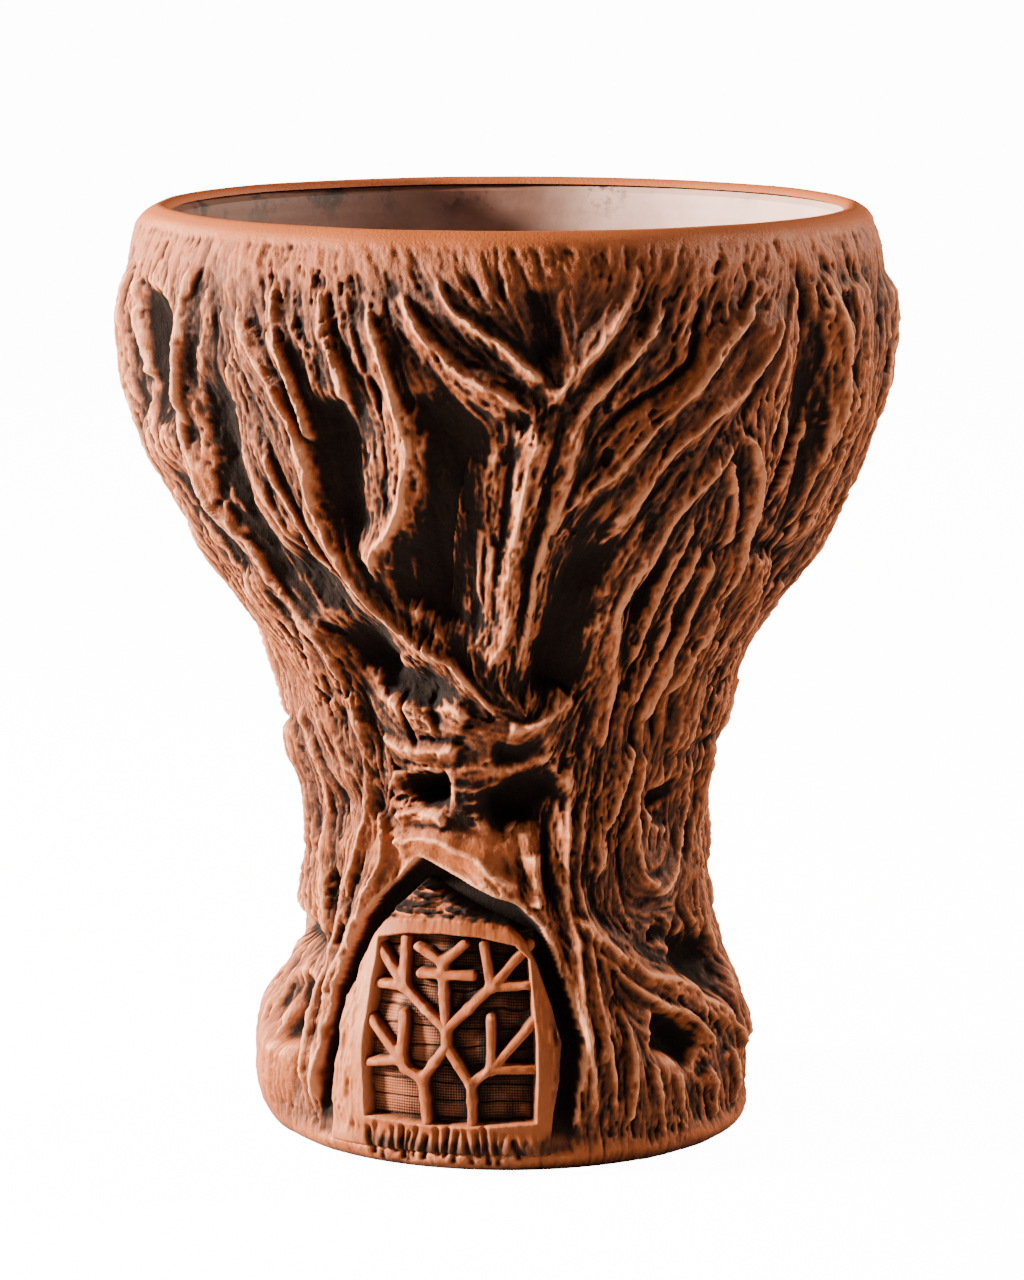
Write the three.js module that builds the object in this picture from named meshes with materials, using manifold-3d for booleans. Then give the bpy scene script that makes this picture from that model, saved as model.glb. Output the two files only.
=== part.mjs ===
// Clay bowl in the form of a hollow tree: a thrown cup on a trunk tube, dressed with clay limbs, roots and a blind door.
// Millimetres, +Z up. The origin is the centre of the foot, on the surface it stands on, and the door looks along -Y.
import * as THREE from "three";
import { mergeVertices } from "three/addons/utils/BufferGeometryUtils.js";
import Module from "manifold-3d";

const wasm = await Module();
wasm.setup();

// Driving dimensions
const HEIGHT = 100;
const CUP_MOUTH_RADIUS = 35.6;
const BARK = 4; // the depth of the applied clay, from the thrown core to the tree's outside
const JOINT = 0.3; // the luting joint between two elements
const BEDDING = 0.5; // from the core to the back of a strip
const EDGE_DROP = 1.3; // how much thinner a strip is at its edges
const SOCKET_MOUTH_RADIUS = 13;
const SOCKET_TOP_RADIUS = 9.5;
const FOOT_TOP = 3.5;
const CUP_BASE = 58;
const FLOOR_LEDGE = 62;
const FLOOR_TOP = 66;
const FLOOR_RADIUS = 15;
const AIR_HOLE_RADIUS = 1.8;
const AIR_HOLE_CIRCLE = 6.6;
const LIP_BASE = 95.5;
const DOOR_AZIMUTH = -16; // degrees from the front, positive towards +X
const ROUND_STEPS = 36;

// The tree's outside, as [height, radius], from the foot to the lip
const OUTSIDE = [
  [0, 24.5], [1.2, 26.2], [3.5, 26.9], [10, 27.2], [14, 26.4], [20, 24], [30, 22.8], [38, 23.1], [46, 25.7],
  [51, 26.6], [58, 30.7], [66, 35.2], [74, 39.2], [82, 41.6], [88, 42.2], [94, 41.4], [98, 39.4], [HEIGHT, 36.9],
];

const rad = THREE.MathUtils.degToRad;
const outside = (z) => {
  const above = Math.max(1, OUTSIDE.findIndex(([height]) => height >= z));
  const [[z0, r0], [z1, r1]] = [OUTSIDE[above - 1], OUTSIDE[above]];
  return THREE.MathUtils.mapLinear(z, z0, z1, r0, r1);
};
const core = (z) => outside(z) - BARK;
const onTree = (azimuth, z, radius) =>
  new THREE.Vector3(radius * Math.sin(rad(azimuth)), -radius * Math.cos(rad(azimuth)), z);

// Between three.js geometry and manifold solids
function solid(geometry) {
  const bare = geometry.index ? geometry.toNonIndexed() : geometry.clone();
  bare.deleteAttribute("normal");
  bare.deleteAttribute("uv");
  const merged = mergeVertices(bare, 1e-4);
  return new wasm.Manifold(new wasm.Mesh({
    numProp: 3,
    vertProperties: merged.attributes.position.array,
    triVerts: new Uint32Array(merged.index.array),
  }));
}

// The largest single body of a solid, so that a trimmed coil leaves no crumbs
function largest(made) {
  const bodies = made.decompose().sort((a, b) => b.volume() - a.volume());
  return bodies[0];
}

const clay = {
  body: new THREE.MeshStandardMaterial({ color: 0x8a4a2c, roughness: 0.85, metalness: 0 }),
  bark: new THREE.MeshStandardMaterial({ color: 0x7a4026, roughness: 0.9, metalness: 0 }),
  door: new THREE.MeshStandardMaterial({ color: 0xb06a45, roughness: 0.8, metalness: 0 }),
  soot: new THREE.MeshStandardMaterial({ color: 0x3a241a, roughness: 0.95, metalness: 0 }),
};

const bowl = new THREE.Group();

function place(name, made, material) {
  const { vertProperties, triVerts } = made.getMesh();
  const geometry = new THREE.BufferGeometry()
    .setAttribute("position", new THREE.BufferAttribute(vertProperties, 3))
    .setIndex(new THREE.BufferAttribute(triVerts, 1));
  const mesh = new THREE.Mesh(geometry.toNonIndexed(), material.clone());
  mesh.geometry.computeVertexNormals();
  mesh.name = name;
  bowl.add(mesh);
  return made;
}

// A closed profile of [radius, height], turned about Z
function turned(profile) {
  const closed = [...profile, profile[0]].map(([r, z]) => new THREE.Vector2(r, z));
  return solid(new THREE.LatheGeometry(closed, ROUND_STEPS).rotateX(Math.PI / 2));
}

const heightsBetween = (low, high) => OUTSIDE.map(([z]) => z).filter((z) => z > low && z < high);

// Everything inside a given distance from the tree's outside, between two heights
function turnedCore(low, high, inset) {
  const side = [low, ...heightsBetween(low, high), high].map((z) => [outside(z) - inset, z]);
  return solid(new THREE.LatheGeometry(
    [[0, low], ...side, [0, high]].map(([r, z]) => new THREE.Vector2(r, z)), ROUND_STEPS).rotateX(Math.PI / 2));
}

// The thrown core
function footRing() {
  const edge = [0, ...heightsBetween(0, FOOT_TOP), FOOT_TOP].map((z) => [outside(z), z]);
  return turned([[SOCKET_MOUTH_RADIUS, 0], ...edge, [SOCKET_MOUTH_RADIUS, FOOT_TOP]]);
}

function trunkTube() {
  const low = FOOT_TOP + JOINT;
  const high = CUP_BASE - JOINT;
  const side = [low, ...heightsBetween(low, high), high].map((z) => [core(z), z]);
  return turned([[SOCKET_MOUTH_RADIUS, low], ...side, [SOCKET_TOP_RADIUS, high]]);
}

function thrownCup() {
  const ledge = SOCKET_TOP_RADIUS + 1;
  const side = [CUP_BASE, ...heightsBetween(CUP_BASE, LIP_BASE), LIP_BASE].map((z) => [core(z), z]);
  const lip = [LIP_BASE, 98, 99.4, HEIGHT].map((z) => [outside(z), z]);
  const inside = [[CUP_MOUTH_RADIUS, 98.8], [CUP_MOUTH_RADIUS, 90], [34.2, 82], [31, 74], [26, 69], [20, 66.6]];
  const well = [[FLOOR_RADIUS + JOINT, FLOOR_TOP], [FLOOR_RADIUS + JOINT, FLOOR_LEDGE], [ledge, FLOOR_LEDGE]];
  return turned([[ledge, CUP_BASE], ...side, ...lip, ...inside, ...well]);
}

function perforatedFloor() {
  const low = FLOOR_LEDGE + JOINT;
  const disc = (radius, bottom, top, steps) =>
    new THREE.CylinderGeometry(radius, radius, top - bottom, steps).rotateX(Math.PI / 2)
      .translate(0, 0, (bottom + top) / 2);
  const hole = solid(disc(AIR_HOLE_RADIUS, low - 1, FLOOR_TOP + 1, 10));
  let made = solid(disc(FLOOR_RADIUS, low, FLOOR_TOP, ROUND_STEPS)).subtract(hole);
  for (let i = 0; i < 6; i++) {
    const at = onTree(i * 60, 0, AIR_HOLE_CIRCLE);
    made = made.subtract(hole.translate([at.x, at.y, 0]));
  }
  return made;
}

// Strips of clay laid on the core to make the limbs, the trunk and the roots.
// Each row is [height, left edge, right edge], the edges as azimuths in degrees, from the top of the strip down.
const STRIPS = {
  centre_stem: [[82.4, 0.5, 7.5], [76, 1.5, 7.5], [70, -1.5, 4.5], [63, -3.5, 2.5], [51.5, -6.5, 0]],
  fork_left: [[94.5, -16, -10], [90, -12.5, -5.5], [86, -8.5, 0.5], [83, -3.5, 3.6]],
  fork_right: [[94.5, 13.5, 20.5], [91, 11, 18], [87, 7.5, 14], [83, 4.2, 9.5]],
  upper_band: [[94.5, 21.5, 29], [89, 18.5, 25], [84, 14.5, 22], [79, 9, 16.5], [73, 6, 13], [62, 3, 9.5], [53, 1, 6.5]],
  lower_band: [[94.5, 29.5, 46], [89, 26, 38], [84, 22.5, 31], [79, 17, 25], [74, 13.5, 20], [70, 11, 16]],
  long_fold: [[94.5, -48, -38], [86, -45, -34], [78, -41, -31], [70, -38.5, -28.5], [63, -34, -22], [57, -26, -12],
    [51.5, -18, -5]],
  second_fold: [[94.5, -37, -27], [88, -33.5, -25], [81, -30.5, -24], [75, -28, -24.5]],
  hook_fold: [[94.5, -25, -17], [86, -23.5, -14], [79, -23, -13.5], [73, -24, -15.5], [65, -27, -20]],
  right_long_fold: [[83, 31.5, 46], [78, 27, 42], [73, 24, 35], [66, 19, 28], [58, 17, 26], [50, 18, 30], [42, 20, 32],
    [30, 19, 30]],
  leaf_knot: [[77, 43, 49], [72, 37, 49], [67, 32, 48], [58, 28, 45], [50, 31, 44], [43, 34, 44]],
  left_shoulder_limb: [[94.5, -62, -49], [86, -60, -46], [76, -55, -42], [68, -49, -39.5], [58, -43.5, -36]],
  left_outer_limb: [[94.5, -85, -64], [84, -82, -62], [74, -77, -57], [66, -71, -51], [58, -66, -45], [50, -62, -41],
    [37, -59, -38]],
  far_left_limb: [[94.5, -104, -86], [84, -101, -83], [73, -95, -78], [63, -89, -72], [53, -83, -67], [37, -80, -60.5]],
  right_outer_limb: [[94.5, 50, 72], [79, 53.5, 72], [66, 51, 71], [55, 47, 69], [41.5, 46, 68]],
  far_right_limb: [[94.5, 73, 94], [84, 73, 93], [66, 72, 91], [52, 70, 90], [34.5, 69, 87]],
  back_limb_1: [[94.5, 95, 116], [80, 94, 116], [64, 92, 114], [50, 91, 113], [34.5, 88, 112]],
  back_limb_2: [[94.5, 117, 138], [80, 117, 139], [64, 115, 135], [50, 114, 137], [34.5, 113, 135]],
  back_limb_3: [[94.5, 139, 161], [80, 140, 160], [64, 136, 158], [50, 138, 160], [34.5, 136, 157]],
  back_limb_4: [[94.5, 162, 185], [80, 161, 184], [64, 159, 180], [50, 161, 183], [34.5, 158, 181]],
  back_limb_5: [[94.5, 186, 209], [80, 185, 209], [64, 181, 205], [50, 184, 206], [34.5, 182, 205]],
  back_limb_6: [[94.5, 210, 232], [80, 210, 231], [64, 206, 229], [50, 207, 230], [34.5, 206, 230]],
  back_limb_7: [[94.5, 233, 255], [80, 232, 256], [64, 230, 254], [50, 231, 255], [34.5, 231, 255]],
  back_limb_8: [[80, 257.5, 259], [73, 257, 263], [63, 255, 270], [53, 256, 276], [37, 256, 279]],
  left_brow: [[50.8, -33, -8], [47, -34, -6], [43.5, -35, -10]],
  right_brow: [[50, 1.5, 16.5], [46, 1, 18.5], [42.5, 9, 19]],
  door_canopy: [[37.5, -33, -9], [35, -36, 1], [32, -37, 9], [29, -1, 13.5], [26, 7, 17]],
  knot_whorl: [[40.8, 45, 63], [37, 40, 67], [32.5, 40, 67], [28.5, 45, 62]],
  left_jamb: [[36, -58, -39], [28, -59, -46], [20, -59, -49.5], [4.5, -58, -51]],
  right_jamb: [[28.5, 15, 30], [22, 17.5, 27], [15, 18.5, 28], [4.5, 18, 30]],
  root_right_arch: [[27, 31, 38], [22, 29, 46], [19, 34, 58], [15, 47, 68], [11, 60, 78], [5, 72, 84]],
  root_right_inner: [[17.5, 30.5, 38], [14, 32, 52], [10.5, 44, 60], [5, 50, 66]],
  root_right_outer: [[33.5, 68.5, 86], [22, 68, 86], [15, 78, 90], [5, 86, 93]],
  left_trunk: [[36, -80, -60], [28, -81, -60.5], [20, -84, -60.5]],
  root_left_ball: [[19, -88, -62], [14, -91, -60], [9, -91, -60], [5, -89, -61]],
  root_left_back: [[33.5, -103, -83], [24, -106, -86], [14, -110, -93], [5, -112, -93]],
  root_back_1: [[33.5, 88, 111], [22, 88.5, 112], [12, 92, 113], [5, 95, 115]],
  root_back_2: [[33.5, 113, 137], [22, 114, 139], [12, 116, 141], [5, 118, 143]],
  root_back_3: [[33.5, 139, 162], [22, 141, 165], [12, 144, 168], [5, 146, 170]],
  root_back_4: [[33.5, 164, 190], [22, 167, 190], [12, 171, 195], [5, 173, 196]],
  root_back_5: [[33.5, 192, 220], [22, 192, 219], [12, 197, 221], [5, 199, 223]],
  root_back_6: [[33.5, 222, 255], [22, 221, 252], [12, 223, 248], [5, 225, 246]],
};

// A strip bent round the core, thickest along its middle; growth makes room round it for its neighbours
function strip(rows, growth) {
  const [high, low] = [rows[0][0] + growth, rows.at(-1)[0] - growth];
  const inner = rows.slice(1, -1).map(([z]) => z);
  const heights = [...new Set([low, ...inner, ...heightsBetween(low + 1, high - 1), high])].sort((a, b) => a - b);
  const middle = (heights.length - 1) / 2;
  const box = new THREE.BoxGeometry(1, 2 * middle, 1, 2, 2 * middle, 1);
  const corners = box.attributes.position;
  for (let i = 0; i < corners.count; i++) {
    const z = heights[Math.round(corners.getY(i) + middle)];
    const below = Math.min(rows.length - 1, Math.max(1, rows.filter(([height]) => height > z).length));
    const t = THREE.MathUtils.clamp((rows[below - 1][0] - z) / (rows[below - 1][0] - rows[below][0]), 0, 1);
    const [left, right] = [1, 2].map((edge) => THREE.MathUtils.lerp(rows[below - 1][edge], rows[below][edge], t));
    const spread = THREE.MathUtils.radToDeg((growth + JOINT / 2) / outside(z));
    const side = corners.getX(i) + 0.5;
    const azimuth = THREE.MathUtils.lerp(left - spread, right + spread, side);
    const edgeDrop = Math.abs(side - 0.5) > 0.1 ? EDGE_DROP : 0;
    const radius = corners.getZ(i) > 0 ? outside(z) - edgeDrop + growth : core(z) + BEDDING - growth;
    corners.setXYZ(i, ...onTree(azimuth, z, radius));
  }
  return solid(box);
}

// The door: a pointed slab in its own tangent plane, u across and z up
const SLAB_BOTTOM = FOOT_TOP + JOINT;
const WINDOW = { left: -8.2, right: 9, bottom: 6.4, top: 23.5 };
const SLAB_EDGE = [
  [-12.2, SLAB_BOTTOM], [12.2, SLAB_BOTTOM], [12.2, 14.5], [11.4, 19], [10.6, 23], [8, 26], [2.5, 27.6],
  [-3.6, 30], [-7.6, 26.8], [-10.2, 23.5], [-11.8, 18],
];
const NICHE_EDGE = [
  [-14.4, 1.5], [14.4, 1.5], [14.4, 15], [13.6, 19.8], [12.4, 24.3], [9, 28], [3.4, 29.8],
  [-3.9, 32.6], [-9.2, 28.4], [-12.2, 24.6], [-14, 18.5],
];
const TWIG_WIDTH = 1.9;
const LATTICE = {
  lattice_left_tree: [
    [[-0.9, 6.8], [-1.2, 9.6], [0.9, 13.4]], [[-1.2, 9.6], [-2.9, 11.5], [-7, 11.2]],
    [[-2.9, 11.5], [-6.6, 15.5]], [[-2.9, 11.5], [-3.8, 16]],
  ],
  lattice_right_tree: [
    [[3.1, 6.8], [2.9, 9.5], [0.9, 13.4]], [[2.9, 9.5], [5.3, 11.6], [8.6, 12]],
    [[5.3, 11.6], [4.6, 16]], [[5.3, 11.6], [8.6, 15.6]],
  ],
  lattice_left_crown: [
    [[0.9, 14.2], [-4.4, 18.6], [-7.2, 18.7]], [[-4.4, 18.6], [-7.2, 22.6]], [[-4.4, 18.6], [-3.8, 23.2]],
  ],
  lattice_right_crown: [
    [[0.9, 14.4], [4, 19], [8.6, 19.2]], [[4, 19], [3.8, 23.2]], [[4, 19], [7.9, 23]],
  ],
  lattice_sprout: [
    [[0.4, 15.4], [-0.4, 21.5], [1.4, 23.2]], [[-2.7, 20.3], [2.2, 20.4]], [[-0.4, 21.5], [-2.7, 22.8]],
  ],
};

const DOOR_DEPTH = 60;
const intoDoor = (made) => made.rotate([90, 0, 0]).rotate([0, 0, DOOR_AZIMUTH]);
const doorBand = (low, high) => turnedCore(2, 40, low).subtract(turnedCore(1, 41, high));

function doorPlate(edge) {
  const outline = new THREE.Shape(edge.map(([u, z]) => new THREE.Vector2(u, z)));
  return solid(new THREE.ExtrudeGeometry(outline, { depth: DOOR_DEPTH, bevelEnabled: false }));
}

function plate(left, right, bottom, top) {
  return solid(new THREE.BoxGeometry(right - left, top - bottom, DOOR_DEPTH)
    .translate((left + right) / 2, (bottom + top) / 2, DOOR_DEPTH / 2));
}

function twigs(strips, growth) {
  const pieces = strips.flatMap((strip) => strip.slice(1).map((end, i) => {
    const [from, to] = [new THREE.Vector2(...strip[i]), new THREE.Vector2(...end)];
    const run = to.clone().sub(from);
    const width = TWIG_WIDTH + 2 * growth;
    return solid(new THREE.BoxGeometry(run.length() + width * 0.7, width, DOOR_DEPTH)
      .rotateZ(run.angle()).translate((from.x + to.x) / 2, (from.y + to.y) / 2, DOOR_DEPTH / 2));
  }));
  return pieces.reduce((whole, piece) => whole.add(piece));
}

// Build the core, then lay each element against what is already there
place("foot_ring", footRing(), clay.body);
place("trunk_tube", trunkTube(), clay.body);
place("thrown_cup", thrownCup(), clay.body);
place("perforated_floor", perforatedFloor(), clay.soot);

const windowHole = plate(WINDOW.left, WINDOW.right, WINDOW.bottom, WINDOW.top);
const slab = intoDoor(doorPlate(SLAB_EDGE).subtract(windowHole));
place("door_slab", slab.intersect(doorBand(1.2, BARK - JOINT)), clay.door);
const panel = intoDoor(plate(
  WINDOW.left + JOINT, WINDOW.right - JOINT, WINDOW.bottom + JOINT, WINDOW.top - JOINT));
place("window_panel", panel.intersect(doorBand(BARK - 1, BARK - JOINT)), clay.soot);
const latticeBand = doorBand(1.5, BARK - 1 - JOINT).intersect(panel);
let laid = null;
for (const [name, strips] of Object.entries(LATTICE)) {
  const made = intoDoor(twigs(strips, 0)).intersect(latticeBand);
  place(name, largest(laid ? made.subtract(laid) : made), clay.door);
  const grown = intoDoor(twigs(strips, JOINT));
  laid = laid ? laid.add(grown) : grown;
}

let taken = intoDoor(doorPlate(NICHE_EDGE)).intersect(turnedCore(1, 41, -BARK))
  .add(turnedCore(FOOT_TOP, LIP_BASE, BARK - JOINT));
for (const [name, rows] of Object.entries(STRIPS)) {
  place(name, largest(strip(rows, 0).subtract(taken)), clay.bark);
  taken = taken.add(strip(rows, JOINT));
}

export default bowl;
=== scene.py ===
# %% [markdown]
# # A clay bowl carved as a hollow tree
# The real bowl is thrown on a wheel, then dressed with strips and coils of soft clay that are worked
# with a loop tool and a needle into limbs, folds and roots. A small blind door is let into the trunk.
# After firing, black patina is wiped into the hollows and the high edges are rubbed pale.
# The CAD model gives the frame, so every piece below is made in its place, in metres.

import math

import bmesh
import bpy
import numpy as np
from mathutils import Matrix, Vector


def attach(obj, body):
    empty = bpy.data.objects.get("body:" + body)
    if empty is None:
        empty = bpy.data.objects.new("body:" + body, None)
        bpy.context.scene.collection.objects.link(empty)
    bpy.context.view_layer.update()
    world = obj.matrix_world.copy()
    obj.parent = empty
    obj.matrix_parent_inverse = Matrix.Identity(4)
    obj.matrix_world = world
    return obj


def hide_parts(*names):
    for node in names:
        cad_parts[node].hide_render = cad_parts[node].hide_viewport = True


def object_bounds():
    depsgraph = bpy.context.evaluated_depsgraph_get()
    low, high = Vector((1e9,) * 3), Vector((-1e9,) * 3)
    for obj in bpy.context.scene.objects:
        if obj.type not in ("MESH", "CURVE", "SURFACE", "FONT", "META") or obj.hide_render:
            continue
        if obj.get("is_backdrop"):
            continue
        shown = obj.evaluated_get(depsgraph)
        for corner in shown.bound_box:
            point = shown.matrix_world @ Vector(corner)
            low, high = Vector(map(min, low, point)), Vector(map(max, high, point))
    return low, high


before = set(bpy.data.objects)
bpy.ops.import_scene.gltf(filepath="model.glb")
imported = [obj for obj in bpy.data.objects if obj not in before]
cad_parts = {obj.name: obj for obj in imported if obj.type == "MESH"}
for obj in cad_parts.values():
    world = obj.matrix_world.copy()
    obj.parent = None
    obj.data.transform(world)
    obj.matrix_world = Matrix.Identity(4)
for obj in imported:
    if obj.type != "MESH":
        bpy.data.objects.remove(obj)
cad_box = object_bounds()
MM = 0.001
print("CAD box", cad_box)

# %% [markdown]
# ## Camera, floor and light
# The bowl stands on a pale table and is seen from a little above its lip, through a long lens, so the
# far lip looks nearly as wide as the near one.
#
# Five soft round lamps light it. The key stands far out on the left, nearly level with the cup, so that
# its light grazes the carving and every limb throws a shadow. A faint lamp over it touches the lip. A
# weak fill on the right keeps the dark side open, and two warm lamps behind the bowl, one on each side,
# draw its outline. The floor and the sky look white to the camera, but they give very little light.

# %% Camera
LENS = 151.6
CAMERA_PLACE = (0.0005, -0.5742, 0.1453)
LOOKS_DOWN = 9.17
camera_data = bpy.data.cameras.new("camera")
camera_data.lens = LENS
camera_data.sensor_width = 36
camera_data.sensor_fit = "VERTICAL"
camera_data.sensor_height = 36
camera = bpy.data.objects.new("camera", camera_data)
camera.location = CAMERA_PLACE
camera.rotation_euler = (math.radians(90 - LOOKS_DOWN), 0, 0)
bpy.context.collection.objects.link(camera)
bpy.context.scene.camera = camera


# %% Floor, lamps and sky
BOWL_MIDDLE = (0, 0, 0.055)
FLOOR_HALF = 3
SKY_LIGHT = 0.04
SKY_SEEN = 8.0


def lamp(name, place, size, power, colour):
    data = bpy.data.lights.new(name, "AREA")
    data.shape = "DISK"
    data.size = size
    data.energy = power
    data.color = colour
    made = bpy.data.objects.new(name, data)
    made.location = place
    aim = Vector(BOWL_MIDDLE) - Vector(place)
    made.rotation_euler = aim.to_track_quat("-Z", "Y").to_euler()
    bpy.context.collection.objects.link(made)
    return made


lamp("key_left", (-0.56, -0.07, 0.24), 0.10, 38.0, (1.0, 0.87, 0.74))
lamp("top_left", (-0.40, -0.26, 0.42), 0.08, 0.4, (1.0, 0.92, 0.84))
lamp("fill_right", (0.50, -0.20, 0.24), 0.14, 1.7, (1.0, 0.90, 0.82))
lamp("edge_right", (0.46, 0.16, 0.28), 0.14, 7.0, (1.0, 0.82, 0.66))
lamp("edge_left", (-0.40, 0.28, 0.12), 0.18, 6.0, (1.0, 0.76, 0.58))

floor_mesh = bpy.data.meshes.new("floor")
sheet = bmesh.new()
bmesh.ops.create_grid(sheet, x_segments=1, y_segments=1, size=FLOOR_HALF)
sheet.to_mesh(floor_mesh)
sheet.free()
floor = bpy.data.objects.new("floor", floor_mesh)
bpy.context.collection.objects.link(floor)
floor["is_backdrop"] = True

sky = bpy.data.worlds.new("sky")
sky.use_nodes = True
sky_tree = sky.node_tree
sky_light = sky_tree.nodes["Background"]
sky_light.inputs["Color"].default_value = (1, 0.99, 0.98, 1)
sky_light.inputs["Strength"].default_value = SKY_LIGHT
sky_seen = sky_tree.nodes.new("ShaderNodeBackground")
sky_seen.inputs["Color"].default_value = (1, 1, 1, 1)
sky_seen.inputs["Strength"].default_value = SKY_SEEN
sky_mix = sky_tree.nodes.new("ShaderNodeMixShader")
sky_path = sky_tree.nodes.new("ShaderNodeLightPath")
sky_tree.links.new(sky_path.outputs["Is Camera Ray"], sky_mix.inputs["Fac"])
sky_tree.links.new(sky_light.outputs[0], sky_mix.inputs[1])
sky_tree.links.new(sky_seen.outputs[0], sky_mix.inputs[2])
sky_tree.links.new(sky_mix.outputs[0], sky_tree.nodes["World Output"].inputs["Surface"])
bpy.context.scene.world = sky

# %% [markdown]
# ## The outline
# A thrown form is a profile turned about the axis. The carving never stands proud of this outline by
# more than a hair, because it is cut into it: the outline is the crest of the limbs, from the rounded
# foot, in at the waist, out to the cup's shoulder, and over the smooth lip.

# %% The profile of the crests, as (radius, height) in millimetres
OUTLINE = [
    (23.6, 0.0), (24.6, 0.1), (25.7, 0.7), (26.4, 1.7), (26.8, 3), (27.2, 6), (27.2, 10), (26.6, 14),
    (25.0, 18), (23.8, 22), (23.2, 26), (22.9, 30), (22.8, 34), (23.2, 38), (24.4, 42), (25.6, 46),
    (26.4, 50), (28.2, 54), (30.7, 58), (33.2, 62), (35.3, 66), (37.4, 70), (39.2, 74), (40.6, 78),
    (41.6, 82), (42.2, 86), (42.2, 90), (41.4, 94), (40.7, 96), (39.5, 98), (38.4, 99.2), (37.2, 99.9),
    (36.5, 99.9), (36.0, 99.5), (35.75, 98.9),
]
TALL = 100
MAP_ROWS = 601
MAP_COLUMNS = 1728
heights = np.linspace(0, TALL, MAP_ROWS)
azimuths = np.arange(MAP_COLUMNS) * 360 / MAP_COLUMNS - 180
row_step = heights[1]
column_step = math.radians(360 / MAP_COLUMNS)


def softened(values, times=6):
    """A line of values with its corners worn round."""
    for _ in range(times):
        padded = np.concatenate(([values[0]], values, [values[-1]]))
        values = (padded[:-2] + 2 * padded[1:-1] + padded[2:]) / 4
    return values


side = OUTLINE[2:-3]
crest_radius = softened(np.interp(heights, [z for r, z in side], [r for r, z in side]), 40)
waist = crest_radius[(heights > 17) & (heights < 41)].min()
print("widest", crest_radius.max().round(1), "waist", waist.round(1), "mm radius")

# %% [markdown]
# ## A map of the carving
# The carving is worked out on an unrolled map of the surface: rows are heights, columns are azimuths,
# with 0 degrees at the front and positive towards +X. Every mark is a stroke of a tool or a coil of
# clay along a few listed points. A ridge raises the clay to a level along its run, a valley
# presses it in softly, and a groove is a narrow cut. Levels are millimetres from the outline's crest,
# and what lies below it is negative.

# %% Strokes on the map
USUAL_RADIUS = 32


def through(points, spacing=1.2):
    """A smooth run through given points, as azimuths and heights."""
    points = np.array(points, float)
    ends = np.vstack((2 * points[0] - points[1], points, 2 * points[-1] - points[-2]))
    run = []
    for i in range(len(points) - 1):
        a, b, c, d = ends[i:i + 4]
        length = math.hypot(math.radians(c[0] - b[0]) * USUAL_RADIUS, c[1] - b[1])
        count = max(1, round(length / spacing))
        t = (np.arange(count) / count)[:, None]
        squared = 2 * a - 5 * b + 4 * c - d
        cubed = 3 * b - a - 3 * c + d
        run.append(0.5 * (2 * b + (c - a) * t + squared * t**2 + cubed * t**3))
    return np.vstack(run + [points[-1:]])


def trace(points, reach):
    """For every cell near a stroke: distance, side (negative to the left), place along it, and direction."""
    run = through(points)
    distance = np.full((MAP_ROWS, MAP_COLUMNS), reach * 1.01)
    side = np.zeros_like(distance)
    along = np.zeros_like(distance)
    heading = np.zeros((2, MAP_ROWS, MAP_COLUMNS))
    count = len(run) - 1
    for i in range(count):
        (az0, z0), (az1, z1) = run[i], run[i + 1]
        low = max(0, int((min(z0, z1) - reach) / row_step))
        high = min(MAP_ROWS, int((max(z0, z1) + reach) / row_step) + 2)
        if high <= low:
            continue
        margin = math.degrees(reach / crest_radius[low:high].mean())
        first = int((min(az0, az1) - margin + 180) / 360 * MAP_COLUMNS)
        last = int((max(az0, az1) + margin + 180) / 360 * MAP_COLUMNS) + 2
        columns = np.arange(first, last)
        rows = np.arange(low, high)
        radius = crest_radius[rows][:, None]
        x = np.radians(columns[None, :] * 360 / MAP_COLUMNS - 180 - az0) * radius
        y = np.broadcast_to(heights[rows][:, None] - z0, x.shape)
        run_x = math.radians(az1 - az0) * radius
        run_y = z1 - z0
        length = np.hypot(run_x, run_y) + 1e-9
        t = np.clip((x * run_x + y * run_y) / length**2, 0, 1)
        off = np.hypot(x - t * run_x, y - t * run_y)
        place = np.ix_(rows, columns % MAP_COLUMNS)
        nearer = off < distance[place]
        for target, value in (
            (distance, off),
            (side, np.sign(x * run_y - y * run_x)),
            (along, (i + t) / count),
            (heading[0], np.broadcast_to(run_x / length, off.shape)),
            (heading[1], run_y / length),
        ):
            target[place] = np.where(nearer, value, target[place])
    return distance, side, along, heading


def ends_fade(along, share):
    """1 along a stroke, falling to 0 over a share of its length at each end."""
    t = np.clip(np.minimum(along, 1 - along) / share, 0, 1)
    return t * t * (3 - 2 * t)


def blurred(values, radius_rows, radius_columns=None, times=2):
    """A box blur on the map, wrapping round in azimuth."""
    radius_columns = radius_rows if radius_columns is None else radius_columns
    for _ in range(times):
        rows = np.pad(values, ((radius_rows + 1, radius_rows), (0, 0)), mode="edge").cumsum(0)
        values = (rows[2 * radius_rows + 1:] - rows[:-2 * radius_rows - 1]) / (2 * radius_rows + 1)
        columns = np.pad(values, ((0, 0), (radius_columns + 1, radius_columns)), mode="wrap").cumsum(1)
        values = (columns[:, 2 * radius_columns + 1:] - columns[:, :-2 * radius_columns - 1]) / (
            2 * radius_columns + 1)
    return values


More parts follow.
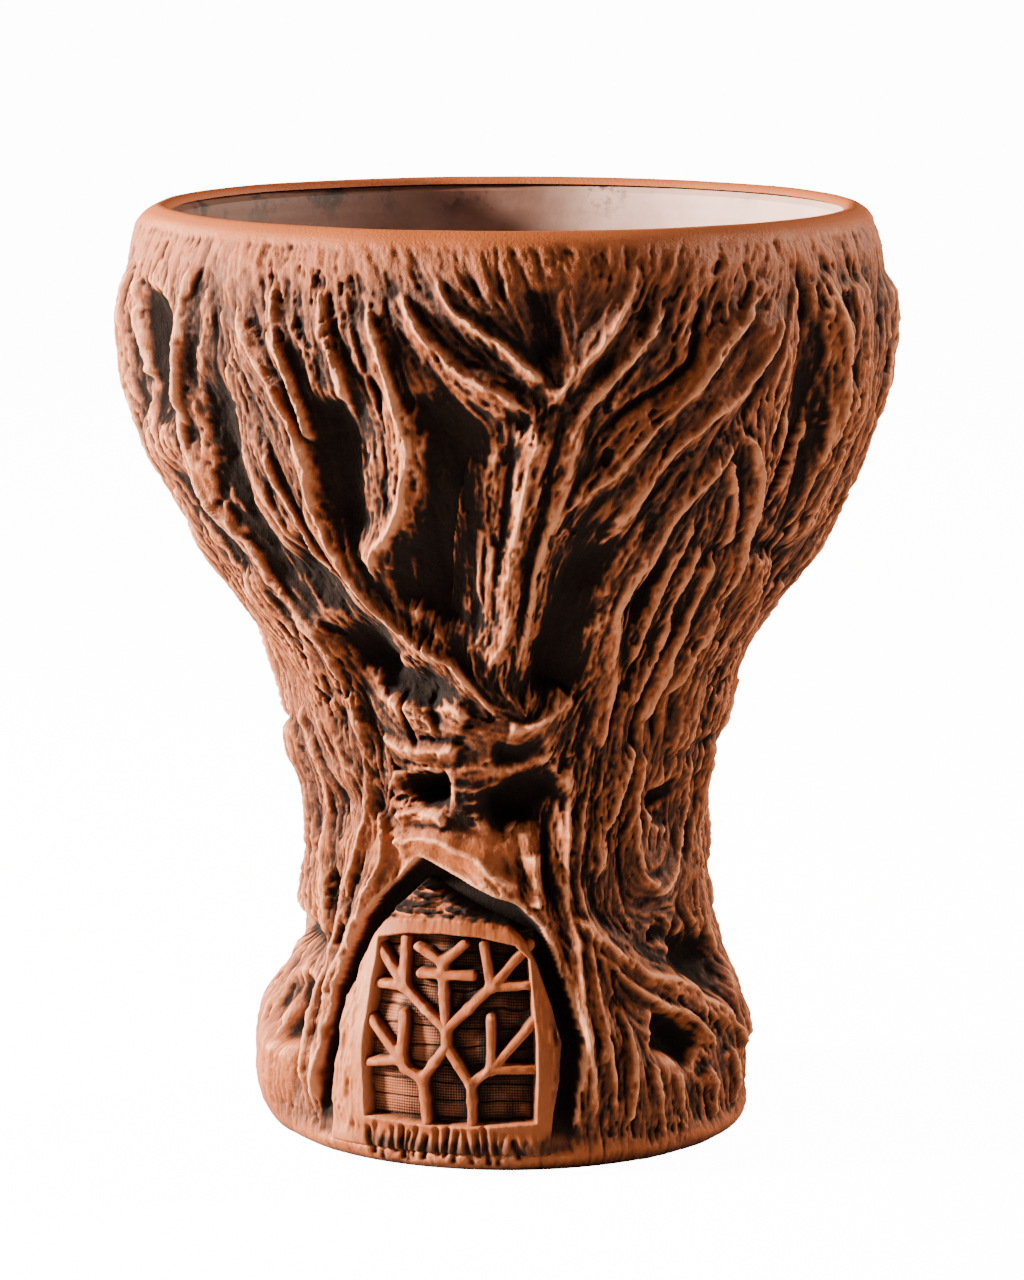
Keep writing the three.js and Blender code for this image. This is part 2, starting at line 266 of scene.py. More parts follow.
def map_value(values, azimuth, height):
    """The map's value at any azimuth and height, between its cells."""
    row = np.clip(height / row_step, 0, MAP_ROWS - 1.001)
    column = (azimuth + 180) / 360 * MAP_COLUMNS
    r0, c0 = np.floor(row).astype(int), np.floor(column).astype(int)
    fr, fc = row - r0, column - c0
    left, right = c0 % MAP_COLUMNS, (c0 + 1) % MAP_COLUMNS
    low = values[r0, left] * (1 - fc) + values[r0, right] * fc
    high = values[r0 + 1, left] * (1 - fc) + values[r0 + 1, right] * fc
    return low * (1 - fr) + high * fr


def evened(values):
    """The same values about 0, with a spread of 1."""
    return (values - values.mean()) / values.std()


random = np.random.default_rng(7)
wavy = evened(blurred(random.standard_normal((MAP_ROWS, MAP_COLUMNS)), 9, 10))
swelling = evened(blurred(random.standard_normal((MAP_ROWS, MAP_COLUMNS)), 18, 20))
GROUND_HEIGHTS = [0, 3, 8, 46, 56, 88, 94, 98]
GROUND_LEVELS = [-0.6, -1.0, -1.7, -1.9, -2.3, -2.0, -1.2, -0.4]
ground_level = np.interp(heights, GROUND_HEIGHTS, GROUND_LEVELS)
carving = ground_level[:, None] * np.ones((1, MAP_COLUMNS))
UPRIGHT_GRAIN = -0.12
grain = np.zeros((2, MAP_ROWS, MAP_COLUMNS))
grain[0] = UPRIGHT_GRAIN
FLOW_REACH = 7.0
GRAIN_NEAR = 3.0
LIMB_WIDTH = 2.4
FAR_BELOW = -9


def steer(distance, heading, weight):
    """Turns the grain along a stroke. Doubled angles are kept, so that up and down mean the same."""
    near = weight * np.exp(-((distance / GRAIN_NEAR) ** 2)) * (distance < FLOW_REACH)
    grain[0] += near * (heading[0] ** 2 - heading[1] ** 2)
    grain[1] += near * 2 * heading[0] * heading[1]


def valley(points, width, depth):
    """A soft round hollow, pressed in with a thumb."""
    distance, _, along, heading = trace(points, max(FLOW_REACH, 2 * width))
    pressed = 1.35 * depth * np.exp(-((distance / width) ** 2)) * ends_fade(along, 0.2)
    carving[:] -= np.where(distance < 2 * width, pressed, 0)
    steer(distance, heading, 0.4)


def joined(first, second, soft):
    """The higher of two levels, with a soft fillet in millimetres where they meet."""
    return 0.5 * (first + second + np.sqrt((first - second) ** 2 + soft**2))


def ridge(points, width, level):
    """A coil of clay laid on. A wide one is a rounded limb, and a narrow one is a sharp fold."""
    distance, side, along, heading = trace(points, FLOW_REACH)
    reach = width * np.where(side < 0, 0.75, 1.3) * np.exp(0.15 * swelling)
    off = distance / reach
    fall = 1.3 * off**1.5 if width >= LIMB_WIDTH else 1.7 * off**0.8
    raised = level + 0.16 * wavy - fall - 1.6 * (1 - ends_fade(along, 0.1))
    raised = np.where(distance < FLOW_REACH, raised, FAR_BELOW)
    carving[:] = joined(carving, raised, 0.4)
    steer(distance, heading, 1.0)


def groove(points, width, depth):
    """A cut of the loop tool, narrower here and wider there."""
    distance, _, along, heading = trace(points, FLOW_REACH)
    ragged = width * np.exp(0.22 * wavy)
    carving[:] -= 1.15 * depth * np.exp(-((distance / ragged) ** 2)) * ends_fade(along, 0.3)
    steer(distance, heading, 0.5)


# %% [markdown]
# ### Valleys first
# The deep shadows are pressed in first, before any ridge is laid over them: between the limbs, inside
# the fork above the stem, over the door and in the hollows between the roots.

# %% Press in the valleys
VALLEYS = [
    ([(-64, 93), (-65, 88), (-65.5, 83), (-64, 76)], 3.6, 3.8),
    ([(-48, 86), (-51, 78), (-52.5, 70), (-49, 62), (-42, 56.5)], 2.8, 2.8),
    ([(-42, 68), (-38, 62), (-32, 57), (-24, 53.5)], 3.8, 2.6),
    ([(-27, 84), (-27, 78), (-27.5, 72), (-29, 66)], 3.0, 2.4),
    ([(-12, 85), (-10, 79), (-9, 71), (-10, 64), (-13, 58)], 4.4, 2.8),
    ([(-17, 70), (-15, 64), (-17, 59.5)], 4.0, 1.6),
    ([(18, 71), (15, 65), (12.5, 59), (11, 53), (9, 48)], 3.6, 2.7),
    ([(30, 67), (27.5, 62), (27, 58)], 1.6, 1.6),
    ([(4, 95), (5.5, 91), (7.5, 87.5)], 3.0, 0.5),
    ([(50, 90), (53, 83), (55.5, 75), (56, 67), (53, 59)], 3.2, 2.6),
    ([(-8, 38), (0, 38.5), (8, 39.5), (15, 41.5)], 2.6, 3.0),
    ([(-27, 39.8), (-21, 40.4), (-16, 40.6)], 1.7, 3.4),
    ([(-5, 44), (4, 44), (10, 46)], 1.6, 1.4),
    ([(58, 23), (66, 20), (73, 16)], 3.2, 2.4),
    ([(37, 14.5), (45, 13.5), (54, 11.5)], 2.0, 3.0),
    ([(-56, 41), (-56, 36), (-55, 32)], 1.5, 1.0),
    ([(-60, 30), (-60, 22), (-60.5, 14), (-61, 6)], 1.6, 1.6),
    ([(48, 40), (50, 37), (47, 35)], 2.2, 1.6),
    ([(-67, 16), (-67, 13.5), (-68, 11)], 1.4, 2.2),
]
for points, width, depth in VALLEYS:
    valley(points, width, depth)
print("deepest valley", carving.min().round(2), "mm")

# %% [markdown]
# ### Limbs, folds and roots
# A coil of clay pressed on with the thumb has a rounded crest and slopes that run out into the clay on
# both sides. Each is listed with its width and the level of its crest.

# %% Raise the ridges of the crown
CROWN_RIDGES = [
    ([(-72, 80), (-66, 72), (-61, 65), (-55, 58), (-50, 51), (-47, 44), (-46, 37)], 4.6, -0.1),
    ([(-60, 73), (-56, 68), (-51.5, 62), (-46, 57), (-42.5, 53), (-40, 47), (-38.5, 43)], 1.8, 0.1),
    ([(-52, 97), (-54, 90), (-56, 84), (-58, 77), (-58, 71), (-54, 64)], 1.8, 0.0),
    ([(-43, 94), (-41, 90), (-37, 85.5), (-34, 81.5), (-32.5, 78), (-33.5, 72.5), (-32, 68.5), (-29.5, 64),
      (-26.5, 60.5), (-19, 56.5), (-13, 54.3), (-9, 51.7), (-3, 49)], 1.35, 0.1),
    ([(-41, 77), (-40, 73.5), (-38, 69.5), (-35.5, 66), (-31, 63)], 0.9, -0.7),
    ([(-36, 95), (-34.5, 89), (-32.5, 85.5), (-31.5, 81), (-31, 78)], 1.2, -0.1),
    ([(-28, 95), (-26.5, 90), (-25, 86), (-24, 82)], 1.5, -0.3),
    ([(-20.5, 94), (-19, 90), (-17, 85.5), (-15, 80), (-15.5, 75), (-17.5, 71), (-21, 67.8), (-24, 65.5),
      (-25, 63.5)], 1.5, 0.0),
    ([(-16, 95), (-13.5, 91.5), (-11.5, 89.5), (-7.5, 86.5), (-3, 84.5), (3, 82)], 1.5, 0.1),
    ([(-10.5, 96), (-6.5, 92), (0, 88), (6, 84.5)], 1.3, -0.2),
    ([(19.5, 98), (18.5, 94), (16, 91.5), (13.5, 89), (10.5, 86.5), (8, 84.5), (5.5, 82)], 2.0, 0.2),
    ([(6, 81), (4.5, 76.5), (2.5, 73), (1.5, 69), (0.5, 64.5), (-0.5, 59), (-2, 56), (-4.5, 53)], 1.9, -0.1),
    ([(-3.6, 70), (-4, 66), (-4.4, 61)], 0.7, -0.9),
    ([(25, 94), (21, 90), (17.5, 87.5), (14.5, 84.5), (12, 82.5), (10.5, 79.5), (9.5, 75), (7.5, 71.5),
      (5, 67), (3.5, 60.5), (2.5, 55)], 1.4, 0.0),
    ([(39, 93.5), (35, 90), (30.5, 87), (27.5, 84), (23.5, 81), (19.5, 78.5), (16, 75.5), (12, 73.5),
      (9, 71)], 1.5, 0.0),
    ([(44, 92), (40, 87), (35, 83), (30, 80), (25, 77), (20, 72), (17, 68)], 1.7, -0.2),
    ([(54, 95), (57, 89), (59, 84), (60, 78)], 1.7, 0.1),
    ([(64, 95), (64, 87), (64, 79), (63, 71), (62, 64)], 4.6, 0.0),
    ([(79, 95), (79, 84), (78, 74), (76, 65), (74, 57)], 4.4, 0.0),
    ([(37, 78), (33.5, 75), (31, 72.5), (28, 69.5), (25.5, 66), (23.5, 63), (22, 60), (22.5, 57), (24, 53),
      (25, 48), (24, 43)], 1.6, 0.0),
    ([(32, 70), (31.5, 64.5), (30, 60), (28.5, 57), (28, 53)], 0.9, -0.3),
    ([(36, 68), (35.5, 63), (34, 58), (32, 53), (31.5, 48)], 1.1, -0.2),
    ([(40, 66), (40, 61), (38.5, 56), (37, 51), (37, 46)], 1.2, -0.1),
    ([(37, 79.5), (41, 76), (44, 71), (46.5, 66), (47, 61), (45, 55), (42, 49)], 1.2, 0.2),
    ([(35, 76), (37, 73), (40, 70), (42, 66.5)], 1.3, 0.0),
    ([(57, 66), (56, 60), (54, 54), (52, 48), (52, 42)], 2.6, -0.1),
    ([(69, 62), (67, 56), (65, 50), (64, 43)], 2.6, -0.1),
    ([(-80, 96), (-79, 88), (-77, 80), (-73, 72), (-68, 64), (-62, 56), (-58, 49)], 3.2, 0.0),
    ([(-71, 96), (-71, 89), (-70, 82)], 1.8, -0.2),
]
for points, width, level in CROWN_RIDGES:
    ridge(points, width, level)
print(len(CROWN_RIDGES), "ridges on the crown")

# %% Raise the ridges of the trunk and the roots
TRUNK_RIDGES = [
    ([(-38.5, 45), (-41, 38), (-47, 33), (-52, 27), (-54.5, 20), (-55.5, 12), (-56, 4)], 2.0, 0.0),
    ([(-41, 39), (-37.5, 34), (-40.5, 29.5), (-47, 25), (-50.3, 18), (-51.2, 11), (-51.6, 4)], 2.2, 0.1),
    ([(-36, 33.8), (-28, 34.6), (-18, 34.4), (-8, 32.6), (-1, 30.6), (5, 28.8)], 2.2, 0.0),
    ([(-33, 36.6), (-28, 37.4), (-22, 37.2), (-17, 36)], 1.2, 0.0),
    ([(7, 33.5), (8.3, 30), (9, 27.5)], 1.3, 0.1),
    ([(-31, 50), (-24, 49), (-16, 49), (-9, 48)], 2.2, -0.3),
    ([(-33, 46), (-26, 44.5), (-19, 44.5), (-12, 45)], 1.6, -0.2),
    ([(0, 47.5), (6, 47), (12, 48.5), (17, 51)], 1.6, -0.3),
    ([(16, 44), (16.5, 37), (17.5, 30), (19.5, 22), (20.5, 13), (20, 4)], 1.3, 0.0),
    ([(22, 42), (21.5, 34), (22.5, 27), (24, 20), (25, 12), (25.5, 4)], 1.2, -0.1),
    ([(34, 45), (32.5, 41), (31, 38), (28, 34), (26.5, 30)], 0.9, 0.2),
    ([(38, 44), (38, 38), (39, 33), (43, 29.5), (49, 29)], 1.4, -0.1),
    ([(58, 43), (59, 37), (57, 32), (52, 28.5), (44, 27.5)], 1.6, -0.1),
    ([(66, 46), (67, 38), (66, 31), (68, 25), (75, 19), (82, 13), (86, 6)], 2.8, 0.0),
    ([(14, 27), (23, 25.3), (32, 22.5), (39, 20.5), (47, 19.5), (57, 17.5), (65, 14), (73, 11), (79, 7)],
     1.9, 0.4),
    ([(22, 24), (28, 22), (34, 19), (43, 17), (50, 15.5), (56, 13), (61, 10)], 1.1, 0.0),
    ([(30, 16), (30.5, 10), (31, 4)], 1.2, -0.2),
    ([(37, 11), (38, 7), (38.5, 3)], 1.0, -0.1),
    ([(45, 10), (46.5, 6.5), (48, 3)], 1.3, -0.1),
    ([(55, 9.5), (58, 6), (60, 3)], 1.6, 0.0),
    ([(66, 10), (69, 6), (71, 3)], 1.8, 0.0),
    ([(-63, 49), (-62, 42), (-62, 35), (-63, 28), (-64, 21)], 1.8, -0.1),
    ([(-77, 46), (-76, 38), (-76, 30), (-78, 22)], 3.0, -0.1),
]
for points, width, level in TRUNK_RIDGES:
    ridge(points, width, level)
print(len(TRUNK_RIDGES), "ridges on the trunk and the roots")

# %% [markdown]
# The root at the left of the foot ends in a round knob. It is a ball of clay pressed on whole, so it is
# a dome on the map: nearly flat on top, and falling away fast at its rim.

# %% Press on the knob of the left root
KNOB_AZIMUTH = -80
KNOB_HEIGHT = 8.6
KNOB_HALF_WIDTH = 8.2
KNOB_HALF_HEIGHT = 9.0
across_knob = np.radians(azimuths[None, :] - KNOB_AZIMUTH) * crest_radius[:, None] / KNOB_HALF_WIDTH
up_knob = (heights[:, None] - KNOB_HEIGHT) / KNOB_HALF_HEIGHT
knob = np.maximum(0.35 - 1.6 * np.abs(across_knob) ** 3 - 1.8 * np.abs(up_knob) ** 4, FAR_BELOW)
carving = joined(carving, knob, math.sqrt(0.5))
print("knob", 2 * KNOB_HALF_WIDTH, "mm wide")

# %% [markdown]
# ### The side away from the door
# Round the back the tree goes on in the same way: upright limbs that lean into each other, with a
# hollow between every two, and a root under each. A seeded generator varies their lean and width.

# %% Limbs and roots at the back
LIMB_STEP = 14.0
ROOT_STEP = 17.0
BACK_FROM, BACK_TO = 93, 262
for azimuth in np.arange(BACK_FROM, BACK_TO, LIMB_STEP):
    lean = random.uniform(-5, 5, 6)
    lean[2] -= 2
    run = [(azimuth + off, z) for off, z in zip(lean, (96, 85, 73, 61, 50, 39))]
    ridge(run, random.uniform(1.6, 3.8), random.uniform(-0.3, 0.1))
    between = [(az + LIMB_STEP / 2, z) for az, z in run[1:5]]
    valley(between, random.uniform(1.6, 3.0), random.uniform(0.8, 2.0))
for azimuth in np.arange(BACK_FROM + 5, BACK_TO, ROOT_STEP):
    lean = random.uniform(-5, 5, 4)
    run = [(azimuth + off, z) for off, z in zip(lean, (42, 30, 17, 3))]
    ridge(run, random.uniform(1.8, 3.4), random.uniform(-0.2, 0.1))
    between = [(azimuth + 9, 27), (azimuth + 9 + lean[3] / 2, 14)]
    valley(between, random.uniform(1.4, 2.6), random.uniform(0.8, 2.2))

# %% [markdown]
# ### Grooves and pockets
# Once the coils are on, the loop tool opens the narrow grooves between and along them, and digs the
# pockets out again: the two eyes over the door, the hollows by the roots, and the dark places at the
# sides. The valleys are then freshened with a narrower, shallower stroke, because the ridges laid over
# them have filled their edges.

# %% Cut the grooves
GROOVES = [
    ([(47, 97), (49, 92.5), (49, 89), (49.5, 86.5), (49.5, 82.5), (47, 79.5), (46.5, 75)], 0.8, 2.0),
    ([(32, 95), (28.5, 90.5), (26, 86.5), (21, 83.5), (16, 81), (11, 78)], 0.5, 1.2),
    ([(-21, 86), (-19, 84), (-18.6, 81)], 0.35, 0.9),
    ([(41, 79), (43, 75.5), (45.2, 71.5)], 0.45, 1.3),
    ([(9, 38), (11.2, 34.5), (10.8, 31.5), (12.6, 27.5)], 0.55, 1.2),
    ([(2.2, 80), (0.5, 75), (-0.8, 70), (-1.5, 64)], 0.5, 0.9),
    ([(8, 80), (6.8, 75), (4.6, 69), (2.6, 62), (1, 56)], 0.5, 1.0),
    ([(45, 24.5), (45.5, 22.5)], 0.8, 1.6),
    ([(-52, 25), (-52.3, 22)], 0.5, 0.9),
    ([(-65, 97), (-65, 95)], 0.5, 0.9),
    ([(-66, 89.5), (-66, 87)], 0.6, 1.0),
    ([(28, 52), (27, 48), (28, 44)], 0.4, 1.2),
    ([(34, 53), (34, 48), (34.5, 43)], 0.4, 1.2),
    ([(41, 53), (40.5, 48), (40, 43)], 0.4, 1.1),
    ([(-26, 51), (-25, 47), (-23, 44)], 0.35, 0.8),
    ([(-17, 52), (-18, 49), (-16, 46)], 0.35, 0.9),
]
POCKETS = [
    ([(-29, 39.4), (-22, 40.2), (-14, 40.4)], 1.6, 2.8),
    ([(-8, 37.2), (0, 38.3), (8, 39.5), (15, 41.5)], 2.1, 2.8),
    ([(-65, 92), (-65.5, 86), (-64.5, 79)], 2.6, 2.2),
    ([(-67, 18), (-67, 14), (-69, 9)], 2.0, 3.8),
    ([(-98, 20.5), (-84, 21.8), (-70, 21.4), (-62, 19)], 1.7, 2.4),
    ([(-60, 17), (-59.5, 10), (-60.5, 4)], 0.9, 1.2),
    ([(37, 14), (45, 13.2), (55, 11)], 1.9, 2.4),
    ([(50, 22.5), (58, 21), (70, 18)], 2.6, 2.8),
    ([(46.5, 39), (49.5, 36.8)], 1.4, 1.6),
    ([(-68, 75), (-62, 68), (-55, 61)], 2.0, 1.8),
    ([(-44, 58), (-36, 55), (-28, 52.6), (-20, 51), (-12, 50)], 1.8, 3.0),
    ([(-56, 39), (-55.5, 34.5)], 1.1, 1.2),
    ([(10, 62), (10.5, 55), (11, 50)], 2.0, 1.8),
    ([(-9, 66), (-12, 61), (-16, 57.5)], 2.4, 1.2),
]
for points, width, depth in GROOVES + POCKETS:
    groove(points, width, depth)
for points, width, depth in VALLEYS:
    groove(points, 0.75 * width, 0.6 * depth)
print(len(GROOVES + POCKETS), "cuts, carving from", carving.min().round(2), "to", carving.max().round(2))


# %% [markdown]
# ### Bark grain
# The bark's fibres are torn along the grain, so they follow the limbs. The grain is made as streaks:
# random specks are smeared along the local direction of the strokes, coarse ones for the torn strands
# and fine ones for the hairlines between them.

# %% Smear specks along the grain
CUP_CELL = 0.18
WAIST_CELL = 0.105


def specks(size):
    """Random specks of one size in millimetres, wherever the bowl is wide or narrow."""
    raw = random.standard_normal((MAP_ROWS, MAP_COLUMNS))
    rows = max(1, round(size / row_step / 2))
    on_cup = evened(blurred(raw, rows, max(1, round(size / CUP_CELL / 2))))
    on_waist = evened(blurred(raw, rows, max(1, round(size / WAIST_CELL / 2))))
    mix = np.clip((heights - 48) / 16, 0, 1)[:, None]
    return on_cup * mix + on_waist * (1 - mix)


grain = np.array([blurred(part, 3, 5) for part in grain])
angle = 0.5 * np.arctan2(grain[1], grain[0])
heading_x, heading_y = np.cos(angle), np.sin(angle)
flip = np.where(heading_y < 0, -1.0, 1.0)
heading_x, heading_y = heading_x * flip, heading_y * flip


def smeared(layers, reach, spacing=0.3):
    """Each layer averaged along the grain, to both sides of every cell."""
    totals = [layer.copy() for layer in layers]
    rows, columns = np.mgrid[0:MAP_ROWS, 0:MAP_COLUMNS].astype(float)
    steps = int(reach / spacing)
    for sign in (-1, 1):
        r, c = rows.copy(), columns.copy()
        last_x, last_y = sign * heading_x, sign * heading_y
        for _ in range(steps):
            ri = np.clip(np.rint(r), 0, MAP_ROWS - 1).astype(int)
            ci = np.rint(c).astype(int) % MAP_COLUMNS
            x, y = heading_x[ri, ci], heading_y[ri, ci]
            turn = np.where(x * last_x + y * last_y < 0, -1.0, 1.0)
            last_x, last_y = x * turn, y * turn
            r += last_y * spacing / row_step
            c += last_x * spacing / (crest_radius[ri] * column_step)
            ri = np.clip(np.rint(r), 0, MAP_ROWS - 1).astype(int)
            ci = np.rint(c).astype(int) % MAP_COLUMNS
            for total, layer in zip(totals, layers):
                total += layer[ri, ci]
    return [evened(total) for total in totals]


(folds,) = smeared([specks(2.2)], 6.0)
strands, fibres = smeared([specks(1.2), specks(0.5)], 2.8)
hairlines, pits = smeared([specks(0.3), specks(0.6)], 1.0)
lumps = evened(blurred(random.standard_normal((MAP_ROWS, MAP_COLUMNS)), 11, 14, 3))
print("grain made,", fibres.shape, "cells")

# %% [markdown]
# The lip and the foot's edge were wiped smooth with a wet sponge, and so were the canopy over the door
# and the knob at the left foot. Everything else is torn bark, roughest where the clay was left alone.
#
# No hand draws a true curve, so the whole carving is first shaken sideways a little. The grain then goes
# on in layers: broad folds in the open ground between the limbs, torn strands and fibres with flaked
# edges, hairlines, and pits where grains of sand fell out.

# %% Lay the grain over the carving
def at_place(azimuth, height, wide, tall):
    """1 at a place on the map, falling to 0 round it."""
    across = np.radians(azimuths[None, :] - azimuth) * crest_radius[:, None] / wide
    return np.exp(-(across**2) - ((heights[:, None] - height) / tall) ** 2)


def ramp(values, low, high):
    """0 below low, 1 above high, and smooth between them."""
    t = np.clip((values - low) / (high - low), 0, 1)
    return t * t * (3 - 2 * t)


def shaken(values):
    """The carving as an unsteady hand leaves it: every edge wanders by up to half a millimetre."""
    rows, columns = np.mgrid[0:MAP_ROWS, 0:MAP_COLUMNS].astype(float)
    sway = [evened(blurred(random.standard_normal(values.shape), size, size)) for size in (16, 16, 5, 5)]
    rows += (0.25 * sway[0] + 0.07 * sway[2]) / row_step
    columns += (0.25 * sway[1] + 0.07 * sway[3]) / (crest_radius[:, None] * column_step)
    return map_value(values, columns * 360 / MAP_COLUMNS - 180, rows * row_step)


tidy_lip = ramp(heights, 97.7, 99.3)[:, None] * np.ones_like(carving)
tidy_foot = (1 - ramp(heights, 0.8, 4.0))[:, None] * np.ones_like(carving)
canopy = 0.85 * at_place(-16, 33.5, 9, 2.6)
knob_top = 0.75 * at_place(-78, 7, 9, 7)
right_fork = 0.3 * at_place(30, 84, 5, 5)
smoothed = np.clip(canopy + knob_top + right_fork, 0, 0.9)
sunk = np.clip((-carving - 1.2) / 2.0, 0, 1)
near_lip = ramp(heights, 91, 98)[:, None]
rough = (1 - smoothed) * (1 - tidy_lip) * (1 - 0.7 * tidy_foot) * (1 - 0.55 * near_lip)

open_ground = ramp(-carving, 0.5, 1.8)
folded = (0.2 + 0.8 * open_ground) * (0.25 - 0.42 * np.abs(folds))
torn = -(0.17 * np.abs(strands) + 0.15 * np.abs(fibres)) * (1 - 0.3 * sunk) - 0.13 * np.abs(hairlines)
flaked = 0.16 * (ramp(strands, -0.7, -0.5) + ramp(strands, 0.5, 0.7)) - 0.2
torn = torn + flaked * (1 - 0.4 * sunk)
pitted = 0.38 * ramp(-pits, 1.0, 1.35) * (1 - 0.4 * sunk) + 0.18 * ramp(-hairlines, 1.0, 1.5)
pitted *= 0.25 + 0.9 * ramp(swelling, -0.9, 1.0)
relief = shaken(carving) - 0.15 + 0.14 * lumps + rough * (torn - pitted + folded)
relief = relief * (1 - tidy_lip) + tidy_lip * (0.05 * lumps - 0.05)
relief = relief * (1 - tidy_foot) + tidy_foot * (0.3 * relief - 0.1)

# The thrown wall stands behind the bark, so no cut may go deeper than this, and no crest may stand proud.
DEPTH_HEIGHTS = [0, 50, 66, 74, 82, 88, 100]
DEPTH_LIMITS = [7, 7.5, 8.5, 7.5, 6.2, 5.2, 5.0]
PROUDEST = 0.4
deepest = np.interp(heights, DEPTH_HEIGHTS, DEPTH_LIMITS)[:, None]
relief = np.where(relief < 0, -deepest * np.tanh(-relief / deepest), np.minimum(relief, PROUDEST))
print("relief from", relief.min().round(2), "to", relief.max().round(2), "mm")

# %% [markdown]
# ### The niche of the door
# A pointed arch is cut into the trunk, and the door slab stands inside it with a dark gap all round.
# A signed distance, negative inside the arch, gives both: the niche is cut where it is negative, and
# the slab's edge follows the same line a little further in.

# %% The arch and the niche
DOOR_AZIMUTH = -16
DOOR_RADIUS = 25.5
ARCH = [
    (-48.6, -4), (-48.2, 7), (-47.2, 13), (-47.2, 17.5), (-45, 21.4), (-41.5, 24.8), (-36, 27.6),
    (-30, 29.8), (-25, 31.4), (-19, 30.3), (-12, 29.0), (-5, 27.8), (2, 26.8), (7.5, 24.8), (11, 21.8),
    (14, 18), (16, 14), (15.2, 10), (13.6, 6), (12.6, -4),
]
GAP = 1.15


def outline_distance(points, azimuth, height, radius=DOOR_RADIUS):
    """Signed distance in millimetres to a closed outline of azimuths and heights, negative inside."""
    x = np.radians(azimuth - DOOR_AZIMUTH) * radius
    corners = [(math.radians(az - DOOR_AZIMUTH) * radius, z) for az, z in points]
    nearest = np.full(np.broadcast(x, height).shape, 1e9)
    inside = np.zeros(nearest.shape, bool)
    for (x0, z0), (x1, z1) in zip(corners, corners[1:] + corners[:1]):
        run_x, run_z = x1 - x0, z1 - z0
        t = np.clip(((x - x0) * run_x + (height - z0) * run_z) / (run_x**2 + run_z**2 + 1e-12), 0, 1)
        nearest = np.minimum(nearest, np.hypot(x - x0 - t * run_x, height - z0 - t * run_z))
        if z0 != z1:
            crosses = (z0 > height) != (z1 > height)
            inside ^= crosses & (x < x0 + (height - z0) * run_x / run_z)
    return np.where(inside, -nearest, nearest)


arch = outline_distance(ARCH, azimuths[None, :], heights[:, None])
NICHE_DEPTH = -4.2
NICHE_FOOT = -1.4
wall = np.maximum(ramp(arch - GAP, -0.5, 0.15), 1 - ramp(heights, 1.8, 3.0)[:, None])
niche_floor = (NICHE_FOOT + (NICHE_DEPTH - NICHE_FOOT) * ramp(heights, 2.5, 9))[:, None]
relief = relief * wall + niche_floor * (1 - wall)
print("niche", relief[wall == 0].min().round(2), "mm deep")

# %% [markdown]
# Under the door the potter pressed a row of short upright strokes with a knife, like a worn threshold.
# They cross the joint between the slab and the foot, so both read them from the same map.

# %% Threshold strokes
STROKES = 17
STROKE_STEP = 2.2
STROKE_WIDTH = 0.32
STROKE_DEPTH = 0.6
strokes = np.zeros_like(relief)
for stroke in range(STROKES):
    azimuth = -34 + stroke * STROKE_STEP + random.uniform(-0.6, 0.6)
    tilt = random.uniform(-1.6, 1.6)
    top = (azimuth, 4.6 + random.uniform(-1.0, 0.4))
    base = (azimuth + tilt, 1.3 + random.uniform(-0.3, 0.9))
    distance = trace([top, base], 1.5)[0]
    cut = random.uniform(0.5, 1) * np.exp(-((distance / STROKE_WIDTH) ** 2))
    strokes = np.maximum(strokes, cut * (distance < 1.5))
relief -= STROKE_DEPTH * strokes
print(STROKES, "strokes in the threshold")

# %% [markdown]
# ### Where the patina and the painted shade lie, and where the rubbing reaches
# Patina is wiped on and off again, so it stays where the surface lies below what is round it, at every
# size from a pore to a deep pocket. The same mask paints shade too: the wide dips and the deepest cuts
# are darkened as shade falls in them. Dry rubbing reaches only what stands proud of its neighbours.
#
# Some places are painted darker, as patina and painted shade, and others lighter, as wiped clay and
# painted light. Each is listed with its azimuth, height, half width, half height, and how much darker
# it is made (or lighter, where the amount is negative).

# %% Masks of patina with painted shade, and of the crests
# Painted shade with patina at these places: they are made darker.
DARKENED_PLACES = [
    (12, 57, 5, 9, 0.5), (-24, 54, 8, 3.5, 0.55), (4, 40, 9, 3.5, 0.5), (-12, 65, 5, 9, 0.4),
    (-28, 76, 2.5, 9, 0.4), (-22, 40, 6, 2.5, 0.45), (-13, 37.5, 5, 2, 0.6), (-65, 83, 3, 7, 0.7),
    (56, 76, 3, 12, 0.2), (-51, 70, 3, 8, 0.5), (-60, 66, 4, 5, 0.6), (-38, 61, 5, 3, 0.4),
    (-20, 72, 3, 7, 0.35), (-6, 80, 5, 4, 0.5), (-2, 62, 2, 8, 0.25), (-27, 50, 5, 4, 0.35),
    (50, 14, 8, 6, 0.15), (60, 20, 5, 4, 0.35), (28, 60, 7, 8, 0.25), (66, 50, 4, 12, 0.35),
    (-67, 14, 1.6, 3, 0.6), (-72, 69, 6, 7, 0.35),
]
# Painted light with wiping at these places: they are made lighter.
LIGHTENED_PLACES = [
    (-38, 33, 4, 5, -0.6), (15, 91, 5, 4, -0.45), (35, 88, 6, 6, -0.5), (-40, 90, 5, 5, -0.4),
    (40, 48, 5, 3, -0.6), (-14, 47, 5, 1.5, -0.2), (-72, 47, 6, 4, -0.3), (47, 90, 4, 7, -0.4),
    (-62, 8, 6, 7, -0.4), (28, 14, 5, 9, -0.3), (-84, 5, 6, 5, -0.2),
]
fine_dip = blurred(relief, 2, 3) - relief
middle_dip = blurred(relief, 7, 9) - relief
wide_dip = blurred(relief, 20, 26) - relief
deep = np.clip((-relief - 1.2) / 4.6, 0, 1)
